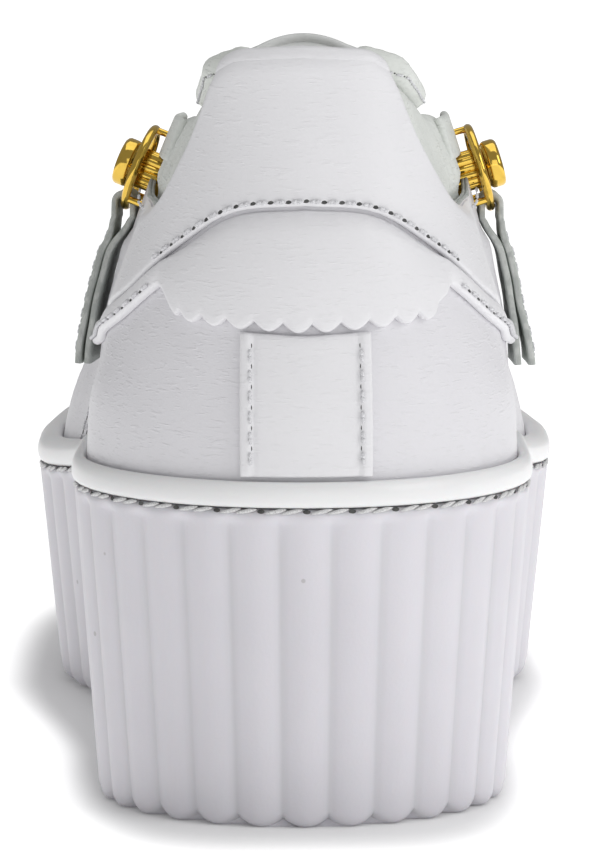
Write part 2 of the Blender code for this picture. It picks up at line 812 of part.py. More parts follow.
def make_tongue():
    """The padded tongue under the throat, curved across the instep."""
    along = np.array([row[0] for row in TONGUE])[::-1]
    table = TONGUE[::-1]
    stations = np.linspace(along[0], along[-1], 11)
    rows = smooth(table, stations)
    middle = np.column_stack(
        (
            centre_line(stations) + rows[:, 3] * BALL_WIDTH,
            along_to_y(stations),
            PLATFORM_HEEL + rows[:, 0] * TONGUE_RISE,
        )
    )
    slope = np.gradient(middle, axis=0)
    across = np.linspace(-1, 1, 9)
    bm = bmesh.new()
    outside = []
    inside = []
    for index in range(len(stations)):
        down = np.array([0.0, slope[index][2], -slope[index][1]])
        down /= np.linalg.norm(down)
        if down[2] > 0:
            down = -down
        upper = []
        lower = []
        for share in across:
            drop = rows[index, 2] * share**2
            point = middle[index] + down * drop
            point[0] += share * rows[index, 1] * TONGUE_HALF_WIDTH
            thin = TONGUE_THICKNESS * (1 - TONGUE_EDGE_THINNING * share**4)
            upper.append(point)
            lower.append(point + down * thin)
        outside.append(upper)
        inside.append(lower)
    close_grid(bm, np.array(outside), np.array(inside), ring=False)
    make_object("tongue", bm)


def make_insole(q):
    """The insole on the platform, inside the foot of the upper."""
    place = outline(q)
    along = place[:, 2]
    rings = []
    for inset, height in INSOLE_ROUNDING:
        reach = lip_width(along) + UPPER_WALL + INSOLE_CLEARANCE + inset
        rings.append(
            np.column_stack(
                (
                    place[:, 0] - place[:, 3] * reach,
                    place[:, 1] - place[:, 4] * reach,
                    platform_top(along) + GAP + height * INSOLE_THICKNESS,
                )
            )
        )
    bm = bmesh.new()
    lofted(bm, rings)
    make_object("insole", bm)


def link_frame(sign):
    """The place of a link: a matrix whose X lies level, Y runs up along the form, and Z out of it."""
    q = np.array([q_of(LINK_W, sign)])
    v = v_at_height(q, PLATFORM_HEEL + LINK_RISE)
    centre = Vector(form(q, v)[0])
    out = Vector(form_normal(q, v)[0])
    level = Vector((0, 0, 1)).cross(out).normalized()
    up = out.cross(level)
    frame = Matrix((level, up, out)).transposed().to_4x4()
    frame.translation = centre
    return frame


def bar(bm, start, end, radius, sides=6):
    """Add a round bar between two points."""
    start = Vector(start)
    end = Vector(end)
    axis = end - start
    turn = Vector((0, 0, 1)).rotation_difference(axis).to_matrix().to_4x4()
    place = Matrix.Translation((start + end) / 2) @ turn
    bmesh.ops.create_cone(
        bm,
        cap_ends=True,
        segments=sides,
        radius1=radius,
        radius2=radius,
        depth=axis.length,
        matrix=place,
    )


def torus(bm, height, steps=18, sides=5):
    """Add a ring of wire, flat in X and Y, at this height."""
    rows = []
    for step in range(steps):
        turn = 2 * math.pi * (step + 0.5) / steps
        row = []
        for side in range(sides):
            roll = 2 * math.pi * (side + 0.5) / sides
            reach = LINK_RADIUS + WIRE_RADIUS * math.cos(roll)
            spot = (reach * math.cos(turn), reach * math.sin(turn), height + WIRE_RADIUS * math.sin(roll))
            row.append(bm.verts.new(spot))
        rows.append(row)
    for step in range(steps):
        here = rows[step]
        there = rows[(step + 1) % steps]
        for side in range(sides):
            ahead = (side + 1) % sides
            bm.faces.new([here[side], there[side], there[ahead], here[ahead]])


def ring_levels():
    """Heights of the outer and the inner ring above the form."""
    outer = -SKIVED_OUTSIDE + STRAP_LAYER + 2 * GAP + WIRE_RADIUS
    inner = -SKIVED_OUTSIDE - SKIVED_LEATHER - GAP - LINK_SLACK - WIRE_RADIUS
    return outer, inner


def post_places():
    """Level and height of the posts between the two rings: one on top, and two beside the strap."""
    places = [(0.0, LINK_RADIUS)]
    for sign in (-1, 1):
        places.append((sign * LINK_RADIUS * math.sin(POST_TURN), -LINK_RADIUS * math.cos(POST_TURN)))
    return places


def joined(item, pieces, place):
    """Join helpers to an object as one solid, where they were made, and then put it in its place."""
    for index, other in enumerate(pieces):
        boolean = item.modifiers.new("join_%d" % index, "BOOLEAN")
        boolean.operation = "UNION"
        boolean.solver = "EXACT"
        boolean.object = other
    graph = bpy.context.evaluated_depsgraph_get()
    mesh = bpy.data.meshes.new_from_object(item.evaluated_get(graph))
    item.modifiers.clear()
    item.data = mesh
    mesh.transform(place)
    for other in pieces:
        bpy.data.objects.remove(other, do_unlink=True)


def make_link(name, sign, upper):
    """Two parallel rings with their bars, the knob outside, and the holes that the bars pass through."""
    frame = link_frame(sign)
    outer, inner = ring_levels()
    bm = bmesh.new()
    torus(bm, outer)
    link = make_object("ring_link_" + name, bm, "ring_link")
    parts = []
    second = bmesh.new()
    torus(second, inner)
    parts.append(second)
    for level in (outer, inner):
        middle = bmesh.new()
        bar(middle, (-LINK_RADIUS, 0, level), (LINK_RADIUS, 0, level), MIDDLE_BAR_RADIUS)
        parts.append(middle)
    for level, height in post_places():
        post = bmesh.new()
        bar(post, (level, height, inner), (level, height, outer), POST_RADIUS)
        parts.append(post)
    barrel = bmesh.new()
    barrel_end = outer + WIRE_RADIUS + BARREL_REACH
    bar(barrel, (0, 0, inner - WIRE_RADIUS), (0, 0, barrel_end), BARREL_RADIUS, 10)
    parts.append(barrel)
    helpers = [helper("link_piece_%s_%d" % (name, index), piece) for index, piece in enumerate(parts)]
    joined(link, helpers, frame)
    knob = bmesh.new()
    start = barrel_end + GAP
    bar(knob, (0, 0, start), (0, 0, start + KNOB_LENGTH), KNOB_RADIUS, 18)
    rims = [edge for edge in knob.edges if any(len(face.verts) > 4 for face in edge.link_faces)]
    bmesh.ops.bevel(
        knob, geom=rims, offset=KNOB_ROUNDING, segments=1, profile=0.5, affect="EDGES", material=-1
    )
    knob.transform(frame)
    make_object("knob_" + name, knob, "knob")
    hole = bmesh.new()
    for level, height in post_places()[1:]:
        bar(hole, (level, height, 2 * inner), (level, height, 2 * outer), POST_RADIUS + GAP, 10)
    hole.transform(frame)
    cut(upper, helper("tip_hole_" + name, hole))


def make_collar_tab(name, sign):
    """The leather tab that ties the collar band to the top of a link."""
    w = np.linspace(TAB_FROM, TAB_TO, 7)
    q = np.sort(np.mod(w / 2 * sign, 1.0))
    low = v_at_rise(q, TAB_FOOT_RISE)
    high = v_at_rise(q, TAB_TOP_RISE)
    tab = skin(
        "collar_tab_" + name,
        q,
        low,
        high,
        3,
        -SKIVED_OUTSIDE - SKIVED_LEATHER,
        -SKIVED_OUTSIDE,
        "collar_tab",
    )
    outer, inner = ring_levels()
    hole = bmesh.new()
    bar(hole, (0, LINK_RADIUS, 2 * inner), (0, LINK_RADIUS, 2 * outer), POST_RADIUS + GAP, 10)
    hole.transform(link_frame(sign))
    cut(tab, helper("tab_hole_" + name, hole))


def make_side_strap(name, sign):
    """The strap that hangs from the outer ring, folded round its wire."""
    frame = link_frame(sign)
    outer, _ = ring_levels()
    wire = frame @ Vector((0, -LINK_RADIUS, outer))
    up = Vector((0, 0, 1))
    out = frame.to_3x3() @ up
    out.z = 0
    out.normalize()
    forward = up.cross(out)
    lift = frame.to_3x3() @ Vector((0, 1, 0))
    lift.z = 0
    q = np.array([q_of(LINK_W, sign)])
    sag = LINK_RADIUS - math.sqrt(LINK_RADIUS**2 - (STRAP_TOP_WIDTH / 2) ** 2)
    eye = WIRE_RADIUS + GAP
    loop = eye + STRAP_LAYER
    rings = []
    for sags, loops, lengths, thick in STRAP_SECTIONS:
        rise = sags * sag + loops * loop - lengths * STRAP_LENGTH
        down = max(lengths, -loops * loop / STRAP_LENGTH)
        z = wire.z + rise
        width = STRAP_TOP_WIDTH + (STRAP_FOOT_WIDTH - STRAP_TOP_WIDTH) * math.sin(max(down, 0) * math.pi / 2)
        half = loop * thick
        middle = 0.0
        if rise < -loop:
            near = []
            for step in (-1, 0, 1):
                beside = q + step * width / 2 / RING_LENGTH * sign
                v = v_at_height(beside, z)
                near.append((Vector(form(beside, v)[0]) - wire).dot(out))
            middle = max(near) + 3 * GAP + half
        row = []
        for corner_out, corner_forward in ((-1, -1), (1, -1), (1, 1), (-1, 1)):
            spot = wire + out * (middle + corner_out * half) + forward * (corner_forward * width / 2)
            row.append((spot.x, spot.y, z))
        rings.append(row)
    bm = bmesh.new()
    stack = [[bm.verts.new(point) for point in ring] for ring in rings]
    for lower, upper in zip(stack, stack[1:]):
        for index in range(4):
            there = (index + 1) % 4
            bm.faces.new([lower[index], lower[there], upper[there], upper[index]])
    bm.faces.new(stack[0])
    bm.faces.new(stack[-1])
    strap = make_object("side_strap_" + name, bm, "side_strap")
    hole = bmesh.new()
    bar(hole, (0, -STRAP_TOP_WIDTH, 0), (0, STRAP_TOP_WIDTH, 0), eye, 12)
    lean = lift.length * sag / 2
    bmesh.ops.scale(
        hole, verts=hole.verts, vec=(HOLE_EASE * (eye + lean) / eye, 1, HOLE_EASE * (eye + sag / 2) / eye)
    )
    place = Matrix((out, forward, up)).transposed().to_4x4()
    place.translation = wire - out * (GAP / 2 + lean) + up * sag / 2
    hole.transform(place)
    cut(strap, helper("strap_hole_" + name, hole))


def main():
    """Build the shoe from the ground up."""
    clear_scene()
    ring = ring_columns()
    collar = collar_columns(COLLAR_ENDS)
    make_sole()
    make_welt_roll(ring)
    upper = make_upper(ring)
    make_tab_panel()
    make_counter_patch()
    make_heel_stay()
    make_collar(collar)
    make_tongue()
    make_insole(ring)
    for name, sign in SIDES:
        make_link(name, sign, upper)
        make_collar_tab(name, sign)
        make_side_strap(name, sign)


main()
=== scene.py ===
"""Looks of the left platform sneaker: every surface, seam and fitting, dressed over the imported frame.

Metres, +Z up, +Y towards the toe, +X to the medial side. A place on the shoe's last is q, once round the
outline from the back of the heel by the medial side, and v, from the platform up to the top line.
"""

from __future__ import annotations

import logging
import math
from collections.abc import Callable, Sequence
from dataclasses import dataclass, field
from enum import Enum
from typing import Any

import bmesh
import bpy
import numpy as np
from mathutils import Matrix, Vector

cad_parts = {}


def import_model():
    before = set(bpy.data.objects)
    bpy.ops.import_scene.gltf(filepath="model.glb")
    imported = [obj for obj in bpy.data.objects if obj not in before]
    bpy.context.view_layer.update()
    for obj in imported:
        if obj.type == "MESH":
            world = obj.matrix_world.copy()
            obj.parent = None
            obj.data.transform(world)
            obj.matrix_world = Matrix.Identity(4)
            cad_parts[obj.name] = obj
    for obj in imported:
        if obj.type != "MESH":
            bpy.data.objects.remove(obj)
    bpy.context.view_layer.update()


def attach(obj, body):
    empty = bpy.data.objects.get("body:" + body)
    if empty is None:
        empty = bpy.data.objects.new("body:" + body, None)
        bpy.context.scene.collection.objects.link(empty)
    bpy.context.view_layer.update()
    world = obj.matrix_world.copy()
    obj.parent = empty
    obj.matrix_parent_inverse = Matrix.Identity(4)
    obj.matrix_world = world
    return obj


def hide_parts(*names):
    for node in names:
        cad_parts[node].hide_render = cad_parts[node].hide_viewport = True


LOG = logging.getLogger("platform_sneaker")
BODY = "root"
MM = 0.001

Array = np.ndarray


class Side(Enum):
    """The two sides of the shoe, with the sign of their X."""

    MEDIAL = 1
    LATERAL = -1

    @property
    def word(self) -> str:
        """The side's name in lower case."""
        return self.name.lower()


def smooth(table: Sequence[Sequence[float]] | Array, at: Array | float) -> Array:
    """Read a table on one smooth curve through its rows.

    Args:
        table: Rows whose first column is the place and whose others are the values.
        at: Places to read.

    Returns:
        One row of values for each place.
    """
    rows = np.array(table, float)
    keys = rows[:, 0]
    values = rows[:, 1:]
    slopes = np.gradient(values, keys, axis=0)
    places = np.clip(np.atleast_1d(np.asarray(at, float)), keys[0], keys[-1])
    index = np.clip(np.searchsorted(keys, places, side="right") - 1, 0, len(keys) - 2)
    width = (keys[index + 1] - keys[index])[:, None]
    t = (places - keys[index])[:, None] / width
    low = values[index]
    high = values[index + 1]
    bend = (2 * t**3 - 3 * t**2 + 1) * low + (-2 * t**3 + 3 * t**2) * high
    return bend + ((t**3 - 2 * t**2 + t) * slopes[index] + (t**3 - t**2) * slopes[index + 1]) * width


def mirrored(table: Sequence[Sequence[float]], odd: Sequence[int]) -> Array:
    """Carry a table past both ends, so that the two sides of the shoe join smoothly.

    Args:
        table: Rows from the heel, at 0, to the toe, at 1.
        odd: Columns that change sign from side to side.

    Returns:
        The longer table.
    """
    rows = np.array(table, float)
    flip = np.ones(rows.shape[1])
    flip[list(odd)] = -1
    before = rows[1:3][::-1] * flip
    before[:, 0] = -rows[1:3, 0][::-1]
    after = rows[-3:-1][::-1] * flip
    after[:, 0] = 2 - rows[-3:-1, 0][::-1]
    return np.vstack((before, rows, after))


def squared(value: Array, power: float) -> Array:
    """A value from -1 to 1 to a power below one, which squares the corners of a round section."""
    return np.sign(value) * np.abs(value) ** power


def unit(vectors: Array) -> Array:
    """Vectors of length one, row by row."""
    return vectors / np.maximum(np.linalg.norm(vectors, axis=-1, keepdims=True), 1e-12)


def ease(value: Array | float, low: float, high: float) -> Array:
    """A smooth step from 0 at low to 1 at high."""
    t = np.clip((np.asarray(value, float) - low) / (high - low), 0, 1)
    return t * t * (3 - 2 * t)


@dataclass
class Last:
    """The shoe's last: the outline of its platform and the form that its upper follows."""

    sole_length: float = 0.262
    heel_width: float = 0.078
    ball_width: float = 0.0985
    tread_to_back: float = 0.039
    platform_heel: float = 0.0538
    platform_ball: float = 0.0418
    platform_toe: float = 0.0423
    toe_spring: float = 0.0100
    arch_rise: float = 0.0018
    arch_middle: float = 0.455
    arch_reach: float = 0.085
    spring_from: float = 0.74
    spring_curve: float = 1.6
    toe_cap: float = 0.34
    toe_squareness: float = 2.3
    lip_width_heel: float = 0.0024
    lip_width_toe: float = 0.0040
    lip_height_heel: float = 0.0043
    lip_height_toe: float = 0.0054
    gap: float = 0.0003
    tab_rise: float = 0.0755
    base_lean: float = 0.0012
    lean_ends: float = 0.45
    lip_grows_to: float = 0.6
    link_w: float = 0.330
    edge_ends: float = 0.410
    edge_blend: float = 0.02
    ring_points: int = 2880
    ring: Array = field(init=False)
    round_length: float = field(init=False)

    OUTLINE = (
        # along, centre, of_heel, of_ball
        (0.00, 0.000, 1.00, 0.00),
        (0.15, 0.004, 1.00, 0.00),
        (0.28, 0.017, 0.80, 0.155),
        (0.40, 0.025, 0.55, 0.326),
        (0.50, 0.022, 0.25, 0.660),
        (0.59, 0.024, 0.00, 0.985),
        (0.66, 0.029, 0.00, 1.00),
        (0.82, 0.036, 0.00, 1.00),
        (1.00, 0.042, 0.00, 1.00),
    )
    PROFILE = (
        # along, heel_top, ball_top, toe_top
        (0.00, 1.00, 0.00, 0.00),
        (0.18, 1.00, 0.00, 0.00),
        (0.32, 0.84, 0.16, 0.00),
        (0.45, 0.42, 0.56, 0.00),
        (0.56, 0.09, 0.90, 0.00),
        (0.66, 0.00, 0.99, 0.00),
        (0.74, 0.00, 0.97, 0.00),
        (0.86, 0.00, 0.30, 0.69),
        (1.00, 0.00, 0.00, 1.00),
    )
    FORM = (
        # w, top_along, top_half, top_rise, base_out, base_up, top_out, top_down, top_shift
        (0.000, 0.032, 0.000, 1.008, 0.10, 0.30, 0.18, 0.30, -0.006),
        (0.025, 0.035, 0.131, 1.008, 0.11, 0.30, 0.19, 0.30, -0.006),
        (0.050, 0.044, 0.245, 1.006, 0.12, 0.30, 0.20, 0.30, -0.005),
        (0.090, 0.068, 0.330, 0.988, 0.14, 0.30, 0.28, 0.34, 0.000),
        (0.155, 0.118, 0.375, 0.945, 0.13, 0.28, 0.38, 0.42, 0.010),
        (0.240, 0.200, 0.410, 0.893, 0.09, 0.27, 0.56, 0.46, 0.015),
        (0.330, 0.300, 0.480, 0.834, 0.07, 0.28, 1.00, 0.46, 0.018),
        (0.410, 0.372, 0.560, 0.540, 0.02, 0.34, 0.62, 0.30, 0.028),
        (0.545, 0.452, 0.430, 0.462, -0.04, 0.38, 0.40, 0.12, 0.032),
        (0.670, 0.516, 0.330, 0.395, -0.03, 0.56, 0.48, 0.14, 0.026),
        (0.810, 0.556, 0.205, 0.355, 0.00, 0.80, 0.56, 0.20, 0.014),
        (1.000, 0.572, 0.000, 0.330, 0.03, 0.92, 0.60, 0.26, 0.000),
    )
    EDGE = (
        # w, rise
        (0.000, 0.996),
        (0.024, 0.991),
        (0.048, 0.979),
        (0.062, 0.945),
        (0.078, 0.866),
        (0.095, 0.788),
        (0.120, 0.700),
        (0.155, 0.642),
        (0.200, 0.622),
        (0.245, 0.618),
        (0.290, 0.626),
        (0.322, 0.645),
        (0.334, 0.618),
        (0.346, 0.560),
        (0.362, 0.535),
        (0.390, 0.528),
        (0.410, 0.520),
    )

    def __post_init__(self) -> None:
        """Walk the outline once and keep it as a dense ring."""
        self.form_round = mirrored(self.FORM, (2,))
        self.ring = self.outline_ring(self.ring_points)
        steps = np.diff(np.vstack((self.ring, self.ring[:1]))[:, :2], axis=0)
        self.round_length = float(np.linalg.norm(steps, axis=1).sum())

    def y_of(self, along: Array | float) -> Array:
        """Y of a share of the sole's length."""
        return np.asarray(along) * self.sole_length - self.tread_to_back

    def centre_line(self, along: Array) -> Array:
        """X of the middle of the sole at shares of its length."""
        return smooth(self.OUTLINE, along)[:, 0] * self.ball_width

    def platform_top(self, along: Array | float) -> Array:
        """Height of the platform's top at shares of its length."""
        heights = np.array((self.platform_heel, self.platform_ball, self.platform_toe))
        return smooth(self.PROFILE, along) @ heights

    def platform_foot(self, along: Array | float) -> Array:
        """Height of the underside, flat at heel and ball and raised at arch and toe."""
        places = np.atleast_1d(along)
        arch = np.clip(1 - np.abs(places - self.arch_middle) / self.arch_reach, 0, 1)
        spring = np.clip((places - self.spring_from) / (1 - self.spring_from), 0, 1)
        return self.arch_rise * np.sin(arch * math.pi / 2) ** 2 + self.toe_spring * spring**self.spring_curve

    def outline_ring(self, count: int) -> Array:
        """The outline as a closed ring.

        Args:
            count: Points in the ring, an even number.

        Returns:
            Columns x, y, along, normal x and normal y.
        """
        half_count = count // 2
        along = (1 - np.cos(np.linspace(0, math.pi, 4 * half_count + 1))) / 2
        rows = smooth(self.OUTLINE, along)
        half = rows[:, 1] * self.heel_width / 2 + rows[:, 2] * self.ball_width / 2
        heel_cap = self.heel_width / 2 / self.sole_length
        heel = np.clip((heel_cap - along) / heel_cap, 0, 1)
        toe = np.clip((along - 1 + self.toe_cap) / self.toe_cap, 0, 1)
        half = half * np.sqrt(1 - heel**2) * (1 - toe**self.toe_squareness) ** (1 / self.toe_squareness)
        sides = []
        for side in Side:
            points = np.column_stack((rows[:, 0] * self.ball_width + side.value * half, self.y_of(along)))
            walked = np.concatenate(([0], np.cumsum(np.linalg.norm(np.diff(points, axis=0), axis=1))))
            share = np.linspace(0, 1, half_count + 1) * walked[-1]
            columns = [np.interp(share, walked, values) for values in (*points.T, along)]
            sides.append(np.column_stack(columns))
        ring = np.vstack((sides[0][:-1], sides[1][::-1][:-1]))
        reach = count // 240
        tangent = unit(np.roll(ring[:, :2], -reach, axis=0) - np.roll(ring[:, :2], reach, axis=0))
        return np.column_stack((ring, tangent[:, 1], -tangent[:, 0]))

    def outline(self, q: Array) -> Array:
        """Read the outline ring at places q."""
        place = np.mod(np.atleast_1d(q), 1.0) * len(self.ring)
        low = np.floor(place).astype(int) % len(self.ring)
        share = (place - np.floor(place))[..., None]
        return self.ring[low] * (1 - share) + self.ring[(low + 1) % len(self.ring)] * share

    def share_of(self, q: Array) -> tuple[Array, Array]:
        """The share w of the way along a side, and the side's sign, for places q."""
        place = np.mod(np.atleast_1d(q), 1.0)
        return 1 - np.abs(1 - 2 * place), np.where(place < 0.5, 1.0, -1.0)

    def grown(self, heel: float, toe: float, along: Array) -> Array:
        """A size of the welt roll, which grows from the heel to the forefoot."""
        return heel + (toe - heel) * np.clip(along / self.lip_grows_to, 0, 1)

    def lip_width(self, along: Array) -> Array:
        """Width of the welt roll."""
        return self.grown(self.lip_width_heel, self.lip_width_toe, along)

    def lip_height(self, along: Array) -> Array:
        """Height of the welt roll."""
        return self.grown(self.lip_height_heel, self.lip_height_toe, along)

    def form(self, q: Array, v: Array | float) -> Array:
        """Points of the upper's outer form.

        Args:
            q: Places round the shoe.
            v: Places up each curve, from 0 at the platform to 1 at the top line.

        Returns:
            Points, one for each pair.
        """
        q = np.atleast_1d(q)
        v = np.broadcast_to(v, q.shape)
        place = self.outline(q)
        w, sign = self.share_of(q)
        along = place[:, 2]
        row = smooth(self.form_round, w)
        inset = self.lip_width(along)
        base = np.column_stack(
            (
                place[:, 0] - place[:, 3] * inset,
                place[:, 1] - place[:, 4] * inset,
                self.platform_top(along) + self.gap,
            )
        )
        top = np.column_stack(
            (
                self.centre_line(row[:, 0]) + (row[:, 7] + sign * row[:, 1] / 2) * self.ball_width,
                self.y_of(row[:, 0]),
                self.platform_heel + row[:, 2] * self.tab_rise,
            )
        )
        height = top[:, 2] - base[:, 2]
        inward = base[:, :2] - top[:, :2]
        lean = row[:, 3] * np.linalg.norm(inward, axis=1) + self.base_lean * (w < self.lean_ends)
        lower = base.copy()
        lower[:, :2] += place[:, 3:5] * lean[:, None]
        lower[:, 2] += row[:, 4] * height
        upper = top.copy()
        upper[:, :2] += inward * row[:, 5][:, None]
        upper[:, 2] -= row[:, 6] * height
        t = v[:, None]
        s = 1 - t
        return s**3 * base + 3 * s**2 * t * lower + 3 * s * t**2 * upper + t**3 * top

    def normal(self, q: Array, v: Array | float) -> Array:
        """Outward normals of the form at pairs of places."""
        q = np.atleast_1d(q)
        v = np.clip(np.broadcast_to(v, q.shape), 0.002, 0.998)
        across = self.form(q + 0.0015, v) - self.form(q - 0.0015, v)
        rise = self.form(q, v + 0.002) - self.form(q, v - 0.002)
        return unit(np.cross(across, rise))

    def v_at_height(self, q: Array, height: Array | float) -> Array:
        """The place v where each curve of the form passes a height.

        Args:
            q: Places round the shoe.
            height: Height above the ground.

        Returns:
            One place v for each q, found by halving.
        """
        q = np.atleast_1d(q)
        low = np.zeros(q.shape)
        high = np.ones(q.shape)
        for _ in range(22):
            middle = (low + high) / 2
            under = self.form(q, middle)[:, 2] < height
            low = np.where(under, middle, low)
            high = np.where(under, high, middle)
        return (low + high) / 2

    def v_at_rise(self, q: Array, rise: Array | float) -> Array:
        """The place v where each curve reaches a share of the tab's rise."""
        return self.v_at_height(q, self.platform_heel + np.asarray(rise) * self.tab_rise)

    def edge_v(self, q: Array) -> Array:
        """The place v of the quarter's top edge."""
        w, _ = self.share_of(q)
        found = self.v_at_rise(q, smooth(self.EDGE, w)[:, 0])
        blend = ease(w, self.edge_ends - self.edge_blend, self.edge_ends)
        return np.minimum(found * (1 - blend) + blend, 1.0)

    def read(self, table: Sequence[Sequence[float]], q: Array) -> Array:
        """Read a two-column table by the share w of places q."""
        w, _ = self.share_of(q)
        return smooth(table, w)[:, 0]

    def q_at(self, sideways: Array | float) -> Array:
        """Places q at distances round the outline from the heel, positive to the medial side."""
        return np.atleast_1d(sideways) / self.round_length


LAST = Last()


class Wire:
    """A shader socket that does sums: each operator adds the Math node that it needs."""

    def __init__(self, paint: "Paint", socket: Any) -> None:
        """Keep the socket and the paint whose nodes it belongs to."""
        self.paint = paint
        self.socket = socket

    def sum(self, operation: str, *values: "Wire | float") -> "Wire":
        """One Math node over the given values."""
        inputs = {index: value for index, value in enumerate(values)}
        return self.paint.node("ShaderNodeMath", {"operation": operation}, inputs).out()

    def __add__(self, other: "Wire | float") -> "Wire":
        """Sum of two values."""
        return self.sum("ADD", self, other)

    __radd__ = __add__

    def __sub__(self, other: "Wire | float") -> "Wire":
        """Difference of two values."""
        return self.sum("SUBTRACT", self, other)

    def __rsub__(self, other: float) -> "Wire":
        """A number less this value."""
        return self.sum("SUBTRACT", other, self)

    def __mul__(self, other: "Wire | float") -> "Wire":
        """Product of two values."""
        return self.sum("MULTIPLY", self, other)

    __rmul__ = __mul__

    def __pow__(self, power: float) -> "Wire":
        """This value to a power."""
        return self.sum("POWER", self, power)

    def step(self, low: float, high: float) -> "Wire":
        """A smooth step from 0 at low to 1 at high."""
        settings = {"interpolation_type": "SMOOTHSTEP"}
        return self.paint.node("ShaderNodeMapRange", settings, {0: self, 1: low, 2: high}).out()


class Made:
    """A node that has been made, and a short way to its outputs."""

    def __init__(self, paint: "Paint", node: Any) -> None:
        """Keep the node and its paint."""
        self.paint = paint
        self.node = node

    def out(self, name: int | str = 0) -> Wire:
        """One output as a wire."""
        return Wire(self.paint, self.node.outputs[name])


class Paint:
    """One material under construction: its nodes, and the sockets of its Principled shader."""

    def __init__(self, name: str) -> None:
        """Start a material with a bare Principled shader."""
        self.material = bpy.data.materials.new(name)
        self.material.use_nodes = True
        self.tree = self.material.node_tree
        self.shader = self.tree.nodes["Principled BSDF"]

    def node(self, kind: str, settings: dict[str, Any], inputs: dict[int | str, Any]) -> Made:
        """Make any node.

        Args:
            kind: Blender's name of the node type.
            settings: The node's own settings, set before its sockets.
            inputs: Values or wires for its sockets, by number or name.

        Returns:
            The made node.
        """
        made = self.tree.nodes.new(kind)
        for key, value in settings.items():
            setattr(made, key, value)
        for key, value in inputs.items():
            self.feed(made.inputs[key], value)
        return Made(self, made)

    def feed(self, socket: Any, value: Any) -> None:
        """Give a socket a wire or a value."""
        if isinstance(value, Wire):
            self.tree.links.new(value.socket, socket)
        else:
            socket.default_value = value

    def place(self, scale: tuple[float, float, float] = (1, 1, 1)) -> Wire:
        """Object coordinates in metres, stretched by a scale."""
        coordinates = self.node("ShaderNodeTexCoord", {}, {}).out("Object")
        if scale == (1, 1, 1):
            return coordinates
        return self.node("ShaderNodeMapping", {}, {"Vector": coordinates, "Scale": scale}).out()

    def noise(self, grain: float, detail: float = 3, place: Wire | None = None) -> Wire:
        """Soft noise whose lumps are about this many metres apart."""
        inputs = {"Vector": place or self.place(), "Scale": 1 / grain, "Detail": detail}
        return self.node("ShaderNodeTexNoise", {}, inputs).out()

    def cells(self, grain: float) -> Wire:
        """Distance to the nearest of many points about this many metres apart."""
        inputs = {"Vector": self.place(), "Scale": 1 / grain}
        return self.node("ShaderNodeTexVoronoi", {}, inputs).out("Distance")

    def attribute(self, name: str) -> Wire:
        """A number that the mesh carries at its points."""
        return self.node("ShaderNodeAttribute", {"attribute_name": name}, {}).out("Fac")

    def blend(self, share: Wire | float, first: Any, second: Any) -> Wire:
        """Mix two colours."""
        node = self.node("ShaderNodeMix", {"data_type": "RGBA"}, {0: share, 6: rgba(first), 7: rgba(second)})
        return node.out(2)

    def bump(self, height: Wire, distance: float) -> Wire:
        """Bump of a height given in shares of a distance in metres."""
        inputs = {"Height": height, "Distance": distance, "Strength": 1.0}
        return self.node("ShaderNodeBump", {}, inputs).out()

    def set(self, **values: Any) -> None:
        """Give the shader's sockets their values: underscores stand for spaces."""
        for key, value in values.items():
            self.feed(self.shader.inputs[key.replace("_", " ")], rgba(value))


def rgba(value: Any) -> Any:
    """A colour of three numbers with its alpha, and anything else as it is."""
    if isinstance(value, tuple) and len(value) == 3:
        return (*value, 1.0)
    return value


Colour = tuple[float, float, float]


@dataclass(frozen=True)
class Leather:
    """Coated leather with a fine grain, faint wrinkles and a slight change of tone."""

    name: str
    colour: Colour
    shade: Colour
    roughness: float = 0.42
    grain: float = 0.00075
    grain_depth: float = 0.00002
    wrinkle: float = 0.0032
    wrinkle_depth: float = 0.00005
    stretch: tuple[float, float, float] = (1.0, 1.0, 4.2)
    coat: float = 0.10

    def make(self) -> Any:
        """Build the material."""
        paint = Paint(self.name)
        pebble = paint.cells(self.grain) * 0.7 + paint.noise(self.grain * 0.6, 2) * 0.5
        folds = paint.noise(self.wrinkle, 4, paint.place(self.stretch))
        ridged = (folds - 0.5) * (folds - 0.5) * 12
        cloud = paint.noise(0.018, 2).step(0.35, 0.75)
        dirt = paint.cells(self.grain).step(0.55, 0.95) * 0.25
        tone = cloud * 0.6 + dirt
        height = pebble * (self.grain_depth / self.wrinkle_depth) + ridged.step(0.0, 0.5)
        paint.set(
            Base_Color=paint.blend(tone, self.colour, self.shade),
            Roughness=paint.noise(0.006, 3) * 0.16 + (self.roughness - 0.08),
            Normal=paint.bump(height, self.wrinkle_depth),
            Coat_Weight=self.coat,
            Coat_Roughness=0.35,
        )
        return paint.material


@dataclass(frozen=True)
class Rubber:
    """Moulded foam rubber: satin, faintly mottled, with a few specks and painted shade in its valleys."""

    name: str
    colour: Colour
    shade: Colour
    valley: Colour
    roughness: float = 0.42
    specks: float = 0.012

    def make(self) -> Any:
        """Build the material."""
        paint = Paint(self.name)
        cloud = paint.noise(0.022, 3).step(0.35, 0.7)
        speck = 1 - paint.cells(self.specks).step(0.028, 0.042)
        skin = paint.noise(0.0007, 3)
        body = paint.blend(cloud, self.colour, self.shade)
        # Painted shade: the colour darkens towards the valley colour where the mesh's crevice value is high.
        crevice_shaded = paint.blend(paint.attribute("crevice") * 0.75, body, self.valley)
        marked = paint.blend(speck * 0.45, crevice_shaded, (0.30, 0.28, 0.26))
        paint.set(
            Base_Color=marked,
            Roughness=paint.noise(0.004, 2) * 0.14 + (self.roughness - 0.07),
            Normal=paint.bump(skin, 0.00004),
            Subsurface_Weight=0.04,
            Subsurface_Scale=0.004,
        )
        return paint.material


